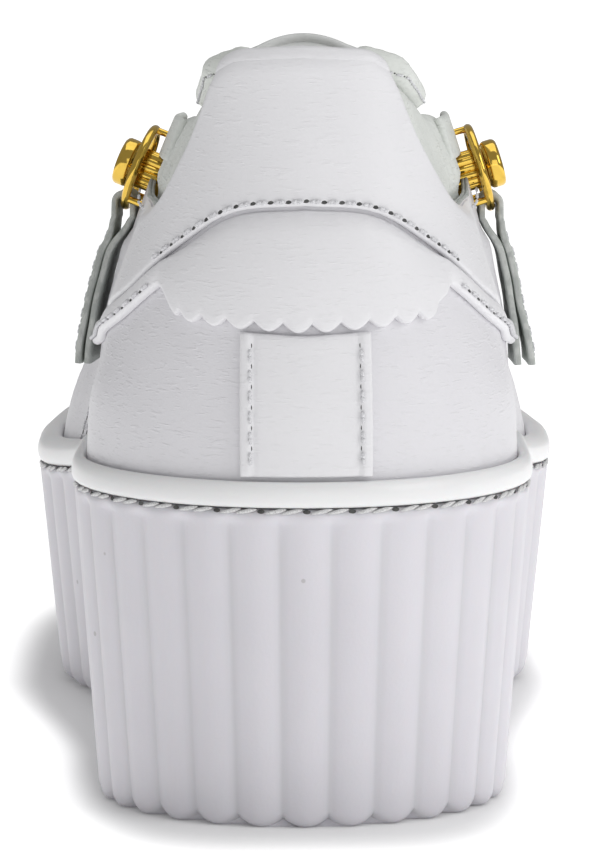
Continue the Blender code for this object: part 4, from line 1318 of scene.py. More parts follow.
@dataclass
class Overlays:
    """The pieces sewn on the heel: tab panel, scalloped patch with its bands, and upright stay."""

    gap: float = 0.2 * MM
    thick: float = 1.35 * MM
    panel_ends: float = 0.262
    patch_ends: float = 0.080
    patch_slant: float = 0.021
    wings_end: float = 0.285
    lobes: int = 10
    lobe_depth: float = 1.4 * MM
    lobe_shift: float = 1.1 * MM
    band_width: float = 4.2 * MM
    puff: float = 0.45 * MM
    under: float = 0.05 * MM
    roll_sink: float = 0.70 * MM
    roll_drop: float = 0.72
    band_crown: float = 0.35 * MM
    stay_thick: float = 1.1 * MM
    stay_fold: float = 0.42 * MM
    stay_dent: float = 0.14 * MM
    stay_seam: float = 1.95 * MM
    stay_seam_out: float = 1.15 * MM
    stay_width: float = 22.8 * MM
    roll_radius: float = 1.9 * MM
    roll_ends: float = 0.062
    arc_ends: float = 0.112
    seam: Seam = Seam(3.3 * MM, 2.3 * MM, 0.38 * MM, 0.08, 0.34 * MM)
    arc_seam: Seam = Seam(2.9 * MM, 2.0 * MM, 0.40 * MM, 0.08, 0.36 * MM)

    PANEL_FOOT = (
        # w, rise
        (0.000, 0.656),
        (0.040, 0.642),
        (0.080, 0.574),
        (0.110, 0.516),
        (0.145, 0.449),
        (0.200, 0.389),
        (0.262, 0.345),
    )
    WING_TOP = (
        # w, rise
        (0.000, 0.648),
        (0.040, 0.634),
        (0.080, 0.566),
        (0.110, 0.508),
        (0.145, 0.441),
        (0.200, 0.381),
        (0.285, 0.325),
    )
    CUSPS = ((0.000, 0.400), (0.050, 0.412), (0.101, 0.430))

    def make(self, upper: Upper) -> None:
        """Build the overlays and their stitches."""
        self.threads = bmesh.new()
        self.make_panel(upper)
        self.make_patch()
        self.make_stay()
        finishes = [Finish.FINE_THREAD, Finish.HOLE]
        report(finish_piece("heel_stitching", self.threads, finishes, 80))

    def make_panel(self, upper: Upper) -> None:
        """The smooth panel at the back of the collar, and the roll along its top."""
        q = np.linspace(-self.panel_ends, self.panel_ends, 401) / 2
        low = LAST.v_at_rise(q, LAST.read(self.PANEL_FOOT, q))
        high = np.maximum(upper.edge(q) - 0.004, low + 0.01)

        def face(places: Array, up: Array) -> Array:
            """Outside of the panel: thinned at its sides and under the rim."""
            share, _ = LAST.share_of(places)
            under_rim = (1 - up) * (np.interp(places, q, high) - np.interp(places, q, low))
            thinned = (0.3 + 0.7 * ease(under_rim, 0.0, 0.035)) * (1 - 0.8 * ease(share, 0.20, 0.262))
            return self.gap + self.thick * thinned

        bm = Slab(q, low, high, level(self.under), face, rows=22, border=0.7 * MM).build()
        report(finish_piece("smooth_tab_panel", bm, [Finish.OVERLAY], 70), ["tab_panel"])
        q = np.linspace(-self.roll_ends, self.roll_ends, 121) / 2
        v = upper.edge(q)
        path, _ = seam_on_last(q, v, -self.roll_sink)
        taper = circle((self.roll_ends - np.abs(q) * 2) / 0.012)
        path[:, 2] -= self.roll_radius * self.roll_drop
        bm = pipe(path, self.roll_radius * (0.25 + 0.75 * taper), 16)
        report(finish_piece("tab_roll", bm, [Finish.OVERLAY], 70))
        q = np.linspace(-self.arc_ends, self.arc_ends, 241) / 2
        v = LAST.v_at_rise(q, LAST.read(self.PANEL_FOOT, q) + 0.75 * MM / LAST.tab_rise)
        self.arc_seam.make(self.threads, *seam_on_last(q, v, self.gap + self.thick - 0.05 * MM))

    def scallop(self, q: Array) -> Array:
        """Rise of the patch's scalloped foot."""
        lobe = 2 * self.patch_ends / self.lobes
        shifted = q - self.lobe_shift / LAST.round_length
        swing = np.abs(np.sin(2 * shifted / lobe * math.pi))
        return LAST.read(self.CUSPS, q) - swing * self.lobe_depth / LAST.tab_rise

    def make_patch(self) -> None:
        """The scalloped patch and, in one piece with it, the two bands that run forward."""
        inner = np.linspace(-self.patch_ends, self.patch_ends, 321) / 2
        outer = np.linspace(self.patch_ends, self.wings_end, 71)[1:] / 2
        q = np.concatenate((-outer[::-1], inner, outer))
        w, _ = LAST.share_of(q)
        top = LAST.read(self.WING_TOP, q)
        in_patch = np.clip((self.patch_ends - w) / self.patch_slant + 1, 0, 1)
        band = top - self.band_width / LAST.tab_rise
        foot = self.scallop(q) * in_patch + band * (1 - in_patch)

        def face(places: Array, up: Array) -> Array:
            """Outside of the patch: puffed in its middle, and a low crown along its bands."""
            share, _ = LAST.share_of(places)
            in_band = ease(share, self.patch_ends + 0.01, self.patch_ends + self.patch_slant)
            crown = self.band_crown * np.sin(np.clip(up, 0, 1) * math.pi) * in_band
            tucked = 0.7 * ease(up, 0.86, 1.0) * (1 - in_band)
            tall = LAST.read(self.WING_TOP, places) - np.interp(places, q, foot)
            plain = LAST.read(self.WING_TOP, places) - LAST.read(self.CUSPS, places)
            below = np.clip((1 - up) * tall / plain, 0, 1)
            puff = self.puff * (np.sin(below * math.pi / 2) + np.sin(below * math.pi)) * (1 - in_band)
            return self.gap + self.thick * (1 - tucked) + crown + puff

        bottom = LAST.v_at_rise(q, foot)
        slab = Slab(q, bottom, LAST.v_at_rise(q, top), level(self.under), face, 14, 0.55 * MM)
        bm = slab.build()
        piece = finish_piece("scalloped_patch", bm, [Finish.OVERLAY], 70)
        report(piece, ["counter_patch"])
        for side in Side:
            q = np.linspace(self.patch_ends + 0.026, self.wings_end - 0.004, 180) / 2 * side.value
            rise = LAST.read(self.WING_TOP, q) - 0.80 * self.band_width / LAST.tab_rise
            v = LAST.v_at_rise(q, rise)
            self.seam.make(self.threads, *seam_on_last(q, v, self.gap + self.thick + 0.2 * MM))

    def make_stay(self) -> None:
        """The upright strip down the back, with folded edges and two rows of stitches."""
        q = LAST.q_at(np.linspace(-0.5, 0.5, 61) * self.stay_width)
        low = LAST.v_at_height(q, LAST.platform_heel + LAST.lip_height_heel + 1.0 * MM)
        high = LAST.v_at_rise(q, LAST.read(self.CUSPS, q) - (self.lobe_depth + 0.4 * MM) / LAST.tab_rise)

        def face(places: Array, up: Array) -> Array:
            """Outside of the stay: a folded edge along each side, with a dent inside it."""
            aside = self.stay_width / 2 - np.abs(places) * LAST.round_length
            fold = self.stay_fold * (1 - ease(aside, 1.5 * MM, 2.6 * MM))
            dent = self.stay_dent * np.exp(-(((aside - 2.4 * MM) / (0.5 * MM)) ** 2))
            return self.gap + self.stay_thick + fold - dent

        bm = Slab(q, low, high, level(self.under), face, rows=18, border=0.6 * MM).build()
        report(finish_piece("upright_heel_stay", bm, [Finish.OVERLAY], 70), ["heel_stay"])
        for side in Side:
            v = np.linspace(low[30] + 0.02, high[30] - 0.02, 160)
            q = np.full(160, float(LAST.q_at(side.value * (self.stay_width / 2 - self.stay_seam))[0]))
            self.seam.make(self.threads, *seam_on_last(q, v, self.gap + self.stay_seam_out))


@dataclass
class Collar:
    """The padded collar: a band inside the quarters, and the roll above it."""

    ends: float = 0.296
    wall: float = 2.2 * MM
    clearance: float = 0.4 * MM
    padding: float = 4.2 * MM
    band_foot: float = 0.480
    roll: float = 2.6 * MM
    pucker: float = 0.16 * MM
    pucker_pitch: float = 5.2 * MM
    seam: Seam = Seam(2.6 * MM, 1.9 * MM, 0.24 * MM, 0.10, 0.24 * MM)
    seam_from: float = 0.068
    overlap: float = 0.7 * MM
    swell_outside: float = 1.5 * MM
    swell_inside: float = 1.2 * MM
    dip: float = 1.1 * MM
    dip_from: float = 0.045
    dip_to: float = 0.080
    seam_turn: float = math.radians(-28)

    FORWARD_W = (0.085, 0.115, 0.235, 0.262)
    FORWARD_SHARE = (0.0, 1.0, 1.0, 0.0)

    def forward(self, q: Array) -> Array:
        """How far the roll comes out to the form's line, above the quarter's edge."""
        w, _ = LAST.share_of(q)
        return np.interp(w, self.FORWARD_W, self.FORWARD_SHARE) * self.wall

    def puckers(self, q: Array, turn: Array) -> Array:
        """Small gathers along the collar's seams."""
        walked = q * LAST.round_length
        wave = np.sin(walked * math.tau / self.pucker_pitch + 1.7 * np.sin(walked * 130))
        w, _ = LAST.share_of(q)
        return self.pucker * wave * (0.55 + 0.45 * np.sin(turn)) * (0.25 + 0.75 * ease(w, 0.17, 0.24))

    def make(self, upper: Upper) -> None:
        """Build the band and the roll."""
        q = np.linspace(-self.ends, self.ends, 301) / 2
        low = LAST.v_at_rise(q, self.band_foot)
        high = LAST.v_at_height(q, LAST.form(q, 1.0)[:, 2] - 2 * self.roll + self.overlap)
        edge = upper.edge(q)
        outward = -self.wall - self.clearance

        def outer(places: Array, up: Array) -> Array:
            """Outside of the band: it swells only above the quarter's edge."""
            bottom = np.interp(places, q, low)
            v = bottom + (np.interp(places, q, high) - bottom) * up
            bare = ease(v - np.interp(places, q, edge), 0.0, 0.05)
            swell = np.sin(np.clip(up, 0, 1) * math.pi) ** 0.7
            return outward + bare * swell * self.swell_outside + self.puckers(places, 3 * up) * bare

        def inner(places: Array, up: Array) -> Array:
            """Inside of the band, puckered along its whole height."""
            swell = np.sin(np.clip(up, 0, 1) * math.pi) ** 0.8
            return outward - self.padding - swell * self.swell_inside + self.puckers(places, 3 * up)

        bm = Slab(q, low, high, inner, outer, rows=22, border=1.9 * MM).build()
        piece = finish_piece("padded_collar_band", bm, [Finish.COLLAR], 80)
        report(piece, ["collar_band"])
        self.make_roll()

    def make_roll(self) -> None:
        """The soft roll along the top of the collar."""
        q = np.linspace(-self.ends, self.ends, 421) / 2
        flat = LAST.normal(q, 1.0)
        flat[:, 2] = 0
        flat = unit(flat)
        outward = self.forward(q) - self.wall - self.clearance
        centre = LAST.form(q, 1.0) + flat * (outward - self.roll)[:, None]
        w, _ = LAST.share_of(q)
        centre[:, 2] -= self.roll + self.dip * (1 - ease(w, self.dip_from, self.dip_to))
        taper = 0.55 + 0.45 * circle((self.ends / 2 - np.abs(q)) * LAST.round_length / self.roll / 1.5)

        def place(places: Array, share: Array) -> Array:
            """Points of the roll's skin."""
            turn = share * math.tau
            radius = self.roll * np.interp(places, q, taper) + self.puckers(places, turn)
            spots = between(places, q, centre)
            spots += between(places, q, flat) * (np.cos(turn) * radius * 1.04)[:, None]
            spots[:, 2] += np.sin(turn) * radius
            return spots

        bm = sheet(q, loops(20), place)
        close_ends(bm)
        piece = finish_piece("padded_collar_roll", bm, [Finish.COLLAR], 80)
        report(piece, ["collar_roll"])
        threads = bmesh.new()
        for side in Side:
            beside = np.linspace(self.seam_from, self.ends - 0.012, 260) / 2 * side.value
            away = between(beside, q, flat) * math.cos(self.seam_turn)
            away[:, 2] = math.sin(self.seam_turn)
            self.seam.make(threads, between(beside, q, centre) + away * self.roll, away)
        report(finish_piece("collar_stitching", threads, [Finish.FINE_THREAD, Finish.HOLE], 80))


@dataclass
class Tongue:
    """The padded tongue, with a bound edge and a seam down its middle."""

    thickness: float = 4.0 * MM
    half_width: float = 19.0 * MM
    rise: float = 73.5 * MM
    puff: float = 0.9 * MM
    binding: float = 1.0 * MM
    seam_depth: float = 0.5 * MM
    edge_thinning: float = 0.45
    top_narrowing: float = 0.16

    TABLE = (
        # along, rise, width, drop, shift
        (0.645, 0.185, 0.78, 0.0065, 0.018),
        (0.590, 0.262, 0.88, 0.0080, 0.026),
        (0.540, 0.355, 0.96, 0.0100, 0.030),
        (0.490, 0.478, 0.98, 0.0125, 0.030),
        (0.445, 0.640, 0.96, 0.0140, 0.026),
        (0.412, 0.830, 0.98, 0.0130, 0.014),
        (0.392, 1.000, 0.88, 0.0105, 0.000),
    )

    def frame(self, along: Array) -> tuple[Array, Array, Array]:
        """Middle points, downward directions and table rows at shares of the sole's length."""
        rows = smooth(self.TABLE[::-1], along)
        centre = LAST.centre_line(along) + rows[:, 3] * LAST.ball_width
        middle = np.column_stack((centre, LAST.y_of(along), LAST.platform_heel + rows[:, 0] * self.rise))
        ahead = smooth(self.TABLE[::-1], along + 0.002)[:, 0]
        behind = smooth(self.TABLE[::-1], along - 0.002)[:, 0]
        forward = np.full(len(along), 0.004 * LAST.sole_length)
        down = unit(np.column_stack((0 * along, (ahead - behind) * self.rise, -forward)))
        return middle, down, rows

    def edge_place(self, along: Array, across: Array, high: Array | float) -> Array:
        """Points of the tongue's body.

        Args:
            along: Places along the tongue.
            across: Places across it, from -1 to 1.
            high: How far outside its middle layer they lie.

        Returns:
            The points, drawn in near the rounded top.
        """
        middle, down, rows = self.frame(along)
        drop = rows[:, 2] * across**2 + self.thin(across) / 2 - high
        point = middle + down * drop[:, None]
        round_top = 1 - self.top_narrowing * (1 - circle(self.length(along) / 0.12))
        point[:, 0] += across * rows[:, 1] * self.half_width * round_top
        return point

    def thin(self, across: Array) -> Array:
        """Thickness across the tongue, less at its edges."""
        return self.thickness * (1 - self.edge_thinning * across**4)

    def length(self, along: Array) -> Array:
        """Share of the tongue's length, from its top."""
        return (along - self.TABLE[-1][0]) / (self.TABLE[0][0] - self.TABLE[-1][0])

    def place(self, along: Array, share: Array) -> Array:
        """Points of the tongue: share runs once round its section."""
        turn = share * math.tau
        across = squared(np.cos(turn), 0.55)
        length = self.length(along)
        ends = circle(np.minimum(length, 1 - length) / 0.02)
        seam = np.exp(-((across / 0.05) ** 2)) * self.seam_depth
        swell = self.thin(across) / 2 + self.puff * (1 - across**2) - seam
        return self.edge_place(along, across, swell * squared(np.sin(turn), 0.5) * np.maximum(ends, 0.05))

    def make(self) -> None:
        """Build the tongue and the binding round its edge."""
        top = self.TABLE[-1][0]
        foot = self.TABLE[0][0]
        steps = np.array((0.0, 0.001, 0.003, 0.007, 0.013, 0.02))
        shares = np.concatenate((steps, np.linspace(0.04, 0.97, 60), (1 - steps)[::-1][2:]))
        along = top + (foot - top) * shares
        bm = sheet(along, loops(64), self.place)
        close_ends(bm, 2e-6)
        report(finish_piece("padded_tongue", bm, [Finish.TONGUE], 80), ["tongue"])
        border = np.concatenate((np.linspace(foot, top, 90), np.full(50, top), np.linspace(top, foot, 90)))
        across = np.concatenate((np.full(90, -1.0), np.linspace(-1, 1, 52)[1:-1], np.full(90, 1.0)))
        path = self.edge_place(border, across, 0.0)
        steps = np.linalg.norm(np.diff(path, axis=0), axis=1)
        keep = np.concatenate(([True], steps > 1e-5))
        bm = pipe(path[keep], self.binding, 10)
        report(finish_piece("tongue_binding", bm, [Finish.TONGUE], 80))


@dataclass
class Insole:
    """The lined insole on the platform, dished a little under the heel."""

    wall: float = 2.2 * MM
    clearance: float = 1.2 * MM
    thickness: float = 4.0 * MM
    dish: float = 1.0 * MM

    LEVELS = (
        # inset, height
        (1.2 * MM, 0.0),
        (0.3 * MM, 0.15),
        (0.0, 0.4),
        (0.1 * MM, 0.75),
        (0.6 * MM, 0.96),
        (1.4 * MM, 1.0),
    )

    def ring(self, q: Array, index: Array) -> Array:
        """Points of the insole's side."""
        row = np.array(self.LEVELS)[index.astype(int)]
        place = LAST.outline(q)
        along = place[:, 2]
        reach = LAST.lip_width(along) + self.wall + self.clearance + row[:, 0]
        height = LAST.platform_top(along) + LAST.gap + row[:, 1] * self.thickness
        return np.column_stack((place[:, 0] - place[:, 3] * reach, place[:, 1] - place[:, 4] * reach, height))

    def across(self, q: Array, share: Array, row: int) -> Array:
        """Points between the two sides of one level of the insole."""
        index = np.full(q.shape, row)
        medial = self.ring(q, index)
        lateral = self.ring(-q, index)
        width = np.linalg.norm(medial - lateral, axis=1)
        point = lateral + (medial - lateral) * share[:, None]
        if row:
            inside = np.minimum(share, 1 - share) * width
            point[:, 2] -= self.dish * ease(inside, 4 * MM, 26 * MM)
        return point

    def make(self) -> None:
        """Build the insole."""
        count = 400
        half = np.arange(count // 2 + 1) / count
        bm = bmesh.new()
        merge(bm, sheet(loops(count), np.arange(len(self.LEVELS)), self.ring))
        top = len(self.LEVELS) - 1
        merge(bm, sheet(half, np.linspace(0, 1, 25), lambda q, share: self.across(q, share, top)))
        merge(bm, sheet(half, np.linspace(0, 1, 5), lambda q, share: self.across(q, share, 0)))
        weld(bm, 3e-6)
        report(finish_piece("lined_insole", bm, [Finish.LINING], 60), ["insole"])


@dataclass
class SideLink:
    """One gilt link: two parallel rings, their posts and bars, a knob, a collar tab and a hanging strap."""

    side: Side
    rise: float = 50.0 * MM
    radius: float = 7.2 * MM
    wire: float = 0.8 * MM
    slack: float = 0.8 * MM
    skived_outside: float = 0.9 * MM
    skived_leather: float = 1.2 * MM
    layer: float = 1.1 * MM
    gap: float = 0.3 * MM
    post: float = 0.6 * MM
    post_turn: float = math.radians(41)
    bar: float = 0.55 * MM
    barrel: float = 2.0 * MM
    barrel_reach: float = 0.2 * MM
    drum_radius: float = 3.6 * MM
    flutes: int = 14
    flute_depth: float = 0.45 * MM
    knob_radius: float = 4.3 * MM
    knob_length: float = 3.0 * MM
    strap_length: float = 27.5 * MM
    strap_top: float = 7.0 * MM
    strap_foot: float = 15.0 * MM
    pressed: float = 1.24
    tab_from: float = 0.272
    tab_to: float = 0.352
    tab_foot: float = 0.705
    tab_top: float = 0.805
    seam: Seam = Seam(2.8 * MM, 1.9 * MM, 0.22 * MM, 0.34, 0.24 * MM)
    seam_inset: float = 1.3 * MM
    tab_clear: float = 0.15 * MM
    knob_clear: float = 0.05 * MM
    knob_neck: float = 0.62
    split_open: float = 1.1 * MM
    just_parted: float = 0.25 * MM
    ruffle: float = 0.05 * MM
    frame: Matrix = field(init=False)
    out: Array = field(init=False)
    level: Array = field(init=False)
    hook: Array = field(init=False)

    def __post_init__(self) -> None:
        """Work out the link's place: X level, Y up along the form and Z out of it."""
        q = np.array([LAST.link_w / 2 * self.side.value])
        v = LAST.v_at_height(q, LAST.platform_heel + self.rise)
        out = Vector(LAST.normal(q, v)[0])
        flat = Vector((0, 0, 1)).cross(out).normalized()
        self.frame = Matrix((flat, out.cross(flat), out)).transposed().to_4x4()
        self.frame.translation = Vector(LAST.form(q, v)[0])
        self.out = unit(np.array((out.x, out.y, 0.0)))
        self.level = np.cross((0.0, 0.0, 1.0), self.out)
        self.outer = -self.skived_outside + self.layer + 2 * self.gap + self.wire
        self.inner = -self.skived_outside - self.skived_leather - self.gap - self.slack - self.wire
        self.hook = np.array(self.frame @ Vector((0, -self.radius, self.outer)))

    def rod(self, bm: bmesh.types.BMesh, start: Sequence[float], end: Sequence[float], radius: float) -> None:
        """Add a round rod with softened ends, in the link's own frame.

        Args:
            bm: Where it goes.
            start: Middle of its first end.
            end: Middle of its other end.
            radius: Its radius.
        """
        first = Vector(start)
        axis = Vector(end) - first
        turn = Vector((0, 0, 1)).rotation_difference(axis).to_matrix().to_4x4()
        made = bmesh.ops.create_cone(
            bm,
            cap_ends=True,
            segments=28,
            radius1=radius,
            radius2=radius,
            depth=axis.length,
            matrix=Matrix.Translation(first + axis / 2) @ turn,
        )
        caps = {face for vert in made["verts"] for face in vert.link_faces if len(face.verts) > 4}
        rims = {edge for face in caps for edge in face.edges}
        bmesh.ops.bevel(
            bm,
            geom=list(rims),
            offset=radius * 0.22,
            segments=4,
            profile=0.5,
            affect="EDGES",
            material=-1,
        )

    def drum(self, bm: bmesh.types.BMesh) -> None:
        """Add the fluted drum between the two rings."""
        place = Matrix.Translation((0, 0, (self.inner + self.outer) / 2))
        made = bmesh.ops.create_cone(
            bm,
            cap_ends=True,
            segments=self.flutes * 8,
            radius1=self.drum_radius,
            radius2=self.drum_radius,
            depth=self.outer - self.inner + self.wire,
            matrix=place,
        )
        for vert in made["verts"]:
            turn = math.atan2(vert.co.y, vert.co.x)
            narrow = 1 - self.flute_depth / self.drum_radius * (1 - abs(math.sin(turn * self.flutes / 2)))
            vert.co.x *= narrow
            vert.co.y *= narrow

    def ring(self, bm: bmesh.types.BMesh, height: float) -> None:
        """Add one ring of wire at this height of the link's frame."""
        section = bmesh.new()
        place = Matrix.Translation((self.radius, 0, height)) @ Matrix.Rotation(math.pi / 2, 4, "X")
        bmesh.ops.create_circle(section, cap_ends=False, segments=20, radius=self.wire, matrix=place)
        geometry = section.verts[:] + section.edges[:]
        bmesh.ops.spin(
            section,
            geom=geometry,
            cent=(0, 0, height),
            axis=(0, 0, 1),
            angle=math.tau,
            steps=96,
            use_merge=True,
        )
        bmesh.ops.remove_doubles(section, verts=section.verts, dist=1e-7)
        bmesh.ops.recalc_face_normals(section, faces=section.faces)
        merge(bm, section)

    def posts(self) -> list[tuple[float, float]]:
        """Places of the posts: one on top, and two beside the strap."""
        reach = self.radius * math.sin(self.post_turn)
        drop = -self.radius * math.cos(self.post_turn)
        return [(0.0, self.radius), (-reach, drop), (reach, drop)]

    def make_metal(self) -> None:
        """Build the link and its knob."""
        bm = bmesh.new()
        self.ring(bm, self.outer)
        self.ring(bm, self.inner)
        for height in (self.outer, self.inner):
            self.rod(bm, (-self.radius, 0, height), (self.radius, 0, height), self.bar)
        for aside, high in self.posts():
            self.rod(bm, (aside, high, self.inner), (aside, high, self.outer), self.post)
        end = self.outer + self.wire + self.barrel_reach
        self.rod(bm, (0, 0, self.inner - self.wire), (0, 0, end), self.barrel)
        self.drum(bm)
        bmesh.ops.transform(bm, matrix=self.frame, verts=bm.verts)
        name = self.side.word
        report(finish_piece("gilt_link_" + name, bm, [Finish.GILT], 50), ["ring_link_" + name])
        bm = bmesh.new()
        start = end + self.knob_clear
        self.rod(bm, (0, 0, start), (0, 0, start + self.knob_length), self.knob_radius)
        self.rod(bm, (0, 0, start - 0.5 * MM), (0, 0, start + 0.6 * MM), self.knob_radius * self.knob_neck)
        bmesh.ops.transform(bm, matrix=self.frame, verts=bm.verts)
        report(finish_piece("gilt_knob_" + name, bm, [Finish.GILT], 50), ["knob_" + name])

    def make_tab(self) -> None:
        """Build the leather tab that ties the collar band to the top of the link."""
        w = np.linspace(self.tab_from, self.tab_to, 61)
        q = np.sort(w / 2 * self.side.value)
        low = LAST.v_at_rise(q, self.tab_foot)
        high = LAST.v_at_rise(q, self.tab_top)
        outer = level(-self.skived_outside + self.tab_clear)
        inner = level(-self.skived_outside - self.skived_leather - self.tab_clear)
        bm = Slab(q, low, high, inner, outer, rows=10, border=0.65 * MM).build()
        name = self.side.word
        piece = finish_piece("collar_loop_" + name, bm, [Finish.COLLAR], 70)
        report(piece, ["collar_tab_" + name])

    def clear_of_form(self, z: float, width: float) -> float:
        """How far out the strap's middle hangs at a height, clear of the upper."""
        q = np.array([LAST.link_w / 2 * self.side.value])
        found = []
        for step in (-1, 0, 1):
            beside = q + step * width / 2 / LAST.round_length * self.side.value
            spot = LAST.form(beside, LAST.v_at_height(beside, z))[0]
            found.append(float((spot - self.hook) @ self.out))
        return max(found) + 3 * self.gap + 0.66 * (self.wire + self.gap + self.layer)

    def strap_path(self) -> tuple[Array, Array, Array]:
        """The folded strap's line, from the foot of its inner layer over the wire to the foot of its outer.

        Returns:
            Distances out of the shoe, heights, and shares of the way down.
        """
        eye = self.wire + self.gap
        round_wire = eye + self.layer / 2
        half = self.pressed * self.layer / 2 + 0.02 * MM
        shares = np.concatenate((np.linspace(0.10, 0.22, 5)[:-1], np.linspace(0.22, 1.0, 26)))
        clear = []
        for share in shares:
            drop = share * self.strap_length
            width = self.strap_top + (self.strap_foot - self.strap_top) * math.sin(share * math.pi / 2)
            clear.append(self.clear_of_form(self.hook[2] - drop, width))
        lower = shares > 0.20
        hang = np.polyval(np.polyfit(shares[lower], np.array(clear)[lower], 2), shares)
        hang += max(0.0, float(np.max((np.array(clear) - hang)[lower])))
        middle = hang * ease(shares, 0.0, 0.30)
        spread = half + (round_wire - half) * (1 - ease(shares, 0.06, 0.24))
        open_foot = self.splay * ease(shares, 0.55, 1.0)
        heights = self.hook[2] - shares * self.strap_length
        turn = np.linspace(math.pi, 0, 17)
        loop_out = round_wire * np.cos(turn)
        loop_z = self.hook[2] + round_wire * np.sin(turn)
        neck = np.linspace(0.02, 0.08, 3)
        neck_out = np.zeros(3)
        inner_out = np.concatenate(((middle - spread)[::-1], (neck_out - round_wire)[::-1]))
        outer_out = np.concatenate((neck_out + round_wire, middle + spread + open_foot))
        inner_z = np.concatenate((heights[::-1], (self.hook[2] - neck * self.strap_length)[::-1]))
        outer_z = np.concatenate((self.hook[2] - neck * self.strap_length, heights))
        low = np.concatenate((shares[::-1], neck[::-1], np.zeros(17), neck, shares))
        out = np.concatenate((inner_out, loop_out, outer_out))
        return out, np.concatenate((inner_z, loop_z, outer_z)), low

    @property
    def splay(self) -> float:
        """How far the strap's layers part at the foot: the medial one is split open."""
        return self.split_open if self.side is Side.MEDIAL else self.just_parted

    def make_strap(self) -> None:
        """Build the strap that hangs from the outer ring, folded round its wire."""
        out, z, share = self.strap_path()
        path = np.column_stack((out, z))
        across_path = unit(np.gradient(path, axis=0))
        away = np.column_stack((-across_path[:, 1], across_path[:, 0]))
        width = self.strap_top + (self.strap_foot - self.strap_top) * np.sin(share * math.pi / 2)
        index = np.arange(len(path))
        sag = self.radius - np.sqrt(self.radius**2 - (self.strap_top / 2) ** 2)

        def place(spot: Array, around: Array) -> Array:
            """Points of the strap: around runs once round its section."""
            spot = spot.astype(int)
            wide = squared(np.cos(around * math.tau), 0.18)
            deep = squared(np.sin(around * math.tau), 0.55)
            half = width[spot] / 2
            thick = self.layer * (1 + (self.pressed - 1) * ease(share[spot], 0.06, 0.26))
            reach = away[spot] * (deep * thick / 2)[:, None]
            high = path[spot, 1] + reach[:, 1]
            lift = sag * wide**2 * (1 - ease(share[spot], 0.0, 0.16))
            ruffle = self.ruffle * np.sin(share[spot] * 21 + 2 * wide) * ease(share[spot], 0.1, 0.4)
            far = path[spot, 0] + reach[:, 0] + ruffle
            point = self.hook + self.out * far[:, None] + self.level * (wide * half)[:, None]
            point[:, 2] = high + lift
            return point

        bm = sheet(index, loops(48), place)
        close_ends(bm)
        for face in bm.faces:
            raw = abs(face.normal.dot(self.level)) > 0.72 or len(face.verts) > 4
            face.material_index = 1 if raw else 0
        low = (index > len(path) / 2) & (share > 0.12) & (share < 0.96)
        thick = self.layer * (1 + (self.pressed - 1) * ease(share[low], 0.06, 0.26))
        normal = np.broadcast_to(self.out, (int(low.sum()), 3))
        for aside in (-1, 1):
            across = aside * (width[low] / 2 - self.seam_inset)
            spots = self.hook + self.out * (path[low, 0] + thick / 2)[:, None] + self.level * across[:, None]
            spots[:, 2] = path[low, 1]
            self.seam.make(bm, spots, normal, (2, 3))
        name = self.side.word
        finishes = [Finish.STRAP, Finish.STRAP_EDGE, Finish.FINE_THREAD, Finish.HOLE]
        piece = finish_piece("folded_strap_" + name, bm, finishes, 60)
        report(piece, ["side_strap_" + name])

    def make(self) -> None:
        """Build the whole link."""
        self.make_metal()
        self.make_tab()
        self.make_strap()


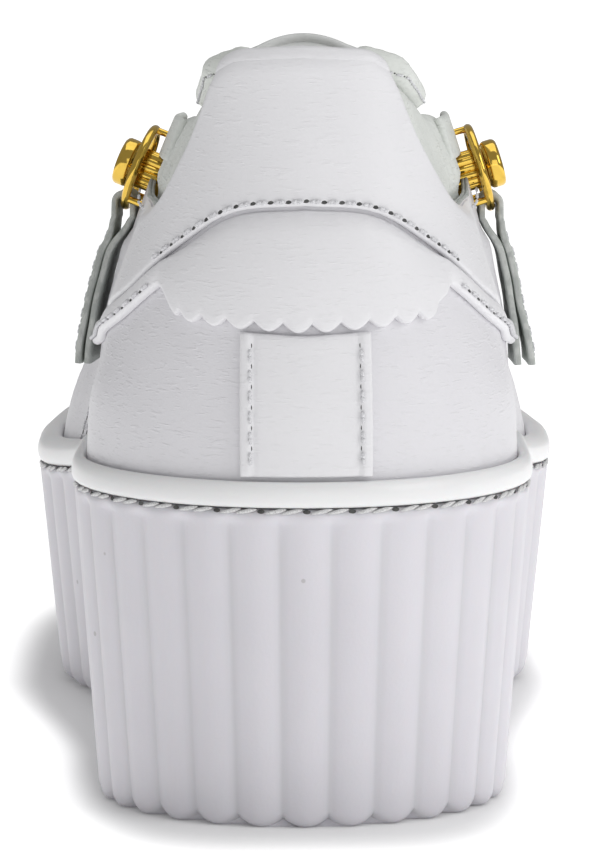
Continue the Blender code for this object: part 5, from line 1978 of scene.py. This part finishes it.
@dataclass
class Studio:
    """Pale floor, soft lights, and the camera straight behind the heel."""

    turn: float = math.radians(1.7)
    pitch: float = math.radians(6.88)
    reach: float = 0.939
    height: float = 0.1763
    half_widths: tuple[float, float] = (0.036, 0.046)
    half_length: float = 0.131
    middle: float = 0.092
    lens: float = 234.0
    aim: tuple[float, float, float] = (0.0, 0.05, 0.06)
    sky: float = 0.34

    def make(self) -> None:
        """Build the stage, the lights and the camera."""
        self.make_floor()
        self.make_lights()
        self.make_camera()

    def make_floor(self) -> None:
        """A wide flat pale floor with a painted glow: faint under and round the shoe, which paints a shadow
        there, and strong far away.
        """
        bm = bmesh.new()
        bmesh.ops.create_grid(bm, x_segments=1, y_segments=1, size=6.0)
        mesh = bpy.data.meshes.new("studio_floor")
        bm.to_mesh(mesh)
        bm.free()
        paint = Paint("studio_paper_glow")
        spot = paint.node("ShaderNodeSeparateXYZ", {}, {"Vector": paint.place()})
        heel, ball = self.half_widths
        wide = spot.out("Y").step(0.03, 0.12) * (ball - heel) + heel
        across = spot.out("X") * wide**-1
        along = (spot.out("Y") - self.middle) * (1 / self.half_length)
        away = across * across * across * across + along * along * along * along
        # Painted light and shadow: the floor glows little near the shoe and much further out, so a shadow is
        # painted round the shoe.
        glow = paint.blend(away.step(0.95, 1.9), (0.06, 0.06, 0.06), (0.60, 0.60, 0.60))
        paint.set(
            Base_Color=paint.blend(paint.noise(0.3, 2) * 0.2, (0.90, 0.90, 0.90), (0.88, 0.88, 0.88)),
            Roughness=paint.noise(0.05, 2) * 0.1 + 0.85,
            Specular_IOR_Level=0.0,
            Emission_Color=paint.blend(away.step(200.0, 9000.0), glow, (0.82, 0.82, 0.82)),
            Emission_Strength=1.0,
        )
        mesh.materials.append(paint.material)
        floor = bpy.data.objects.new("studio_floor", mesh)
        bpy.context.scene.collection.objects.link(floor)

    def light(self, name: str, place: Sequence[float], size: float, power: float) -> None:
        """Add one square area light that shines on the heel.

        Args:
            name: Name of the lamp.
            place: Where it stands.
            size: Length of its sides.
            power: Its power in watts.
        """
        data = bpy.data.lights.new(name, "AREA")
        data.shape = "SQUARE"
        data.size = size
        data.energy = power
        lamp = bpy.data.objects.new(name, data)
        lamp.location = place
        direction = Vector(self.aim) - Vector(place)
        lamp.rotation_euler = direction.to_track_quat("-Z", "Y").to_euler()
        bpy.context.scene.collection.objects.link(lamp)

    def make_lights(self) -> None:
        """Soft lights above, at the right and behind the camera, and a grey sky."""
        self.light("overhead", (0.25, 0.10, 1.50), 1.4, 7.5)
        self.light("right_side", (1.25, -0.75, 0.80), 0.9, 6.5)
        self.light("behind_camera", (0.30, -1.9, 0.35), 0.9, 2.6)
        scene = bpy.context.scene
        world = scene.world or bpy.data.worlds.new("sky")
        scene.world = world
        world.use_nodes = True
        sky = world.node_tree.nodes["Background"]
        sky.inputs["Color"].default_value = (1.0, 1.0, 1.0, 1.0)
        sky.inputs["Strength"].default_value = self.sky
        scene.view_settings.view_transform = "Standard"

    def make_camera(self) -> None:
        """The camera, at the photograph's place."""
        data = bpy.data.cameras.new("photo_camera")
        data.lens = self.lens
        data.sensor_width = 36.0
        camera = bpy.data.objects.new("photo_camera", data)
        camera.location = (-math.sin(self.turn) * self.reach, -math.cos(self.turn) * self.reach, self.height)
        camera.rotation_euler = (math.pi / 2 - self.pitch, 0.0, -self.turn)
        bpy.context.scene.collection.objects.link(camera)
        bpy.context.scene.camera = camera


def plain(box: Any) -> list[list[float]]:
    """A box's two corners as lists of numbers."""
    return [[float(value) for value in corner] for corner in box]


def main() -> None:
    """Dress the frame, in a maker's order."""
    logging.basicConfig(level=logging.INFO, format="%(name)s %(message)s")
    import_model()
    Studio().make()
    Platform().make()
    Welt().make()
    upper = Upper()
    upper.make()
    Overlays().make(upper)
    Collar().make(upper)
    Tongue().make()
    Insole().make()
    for side in Side:
        SideLink(side).make()


if __name__ == "__main__":
    main()
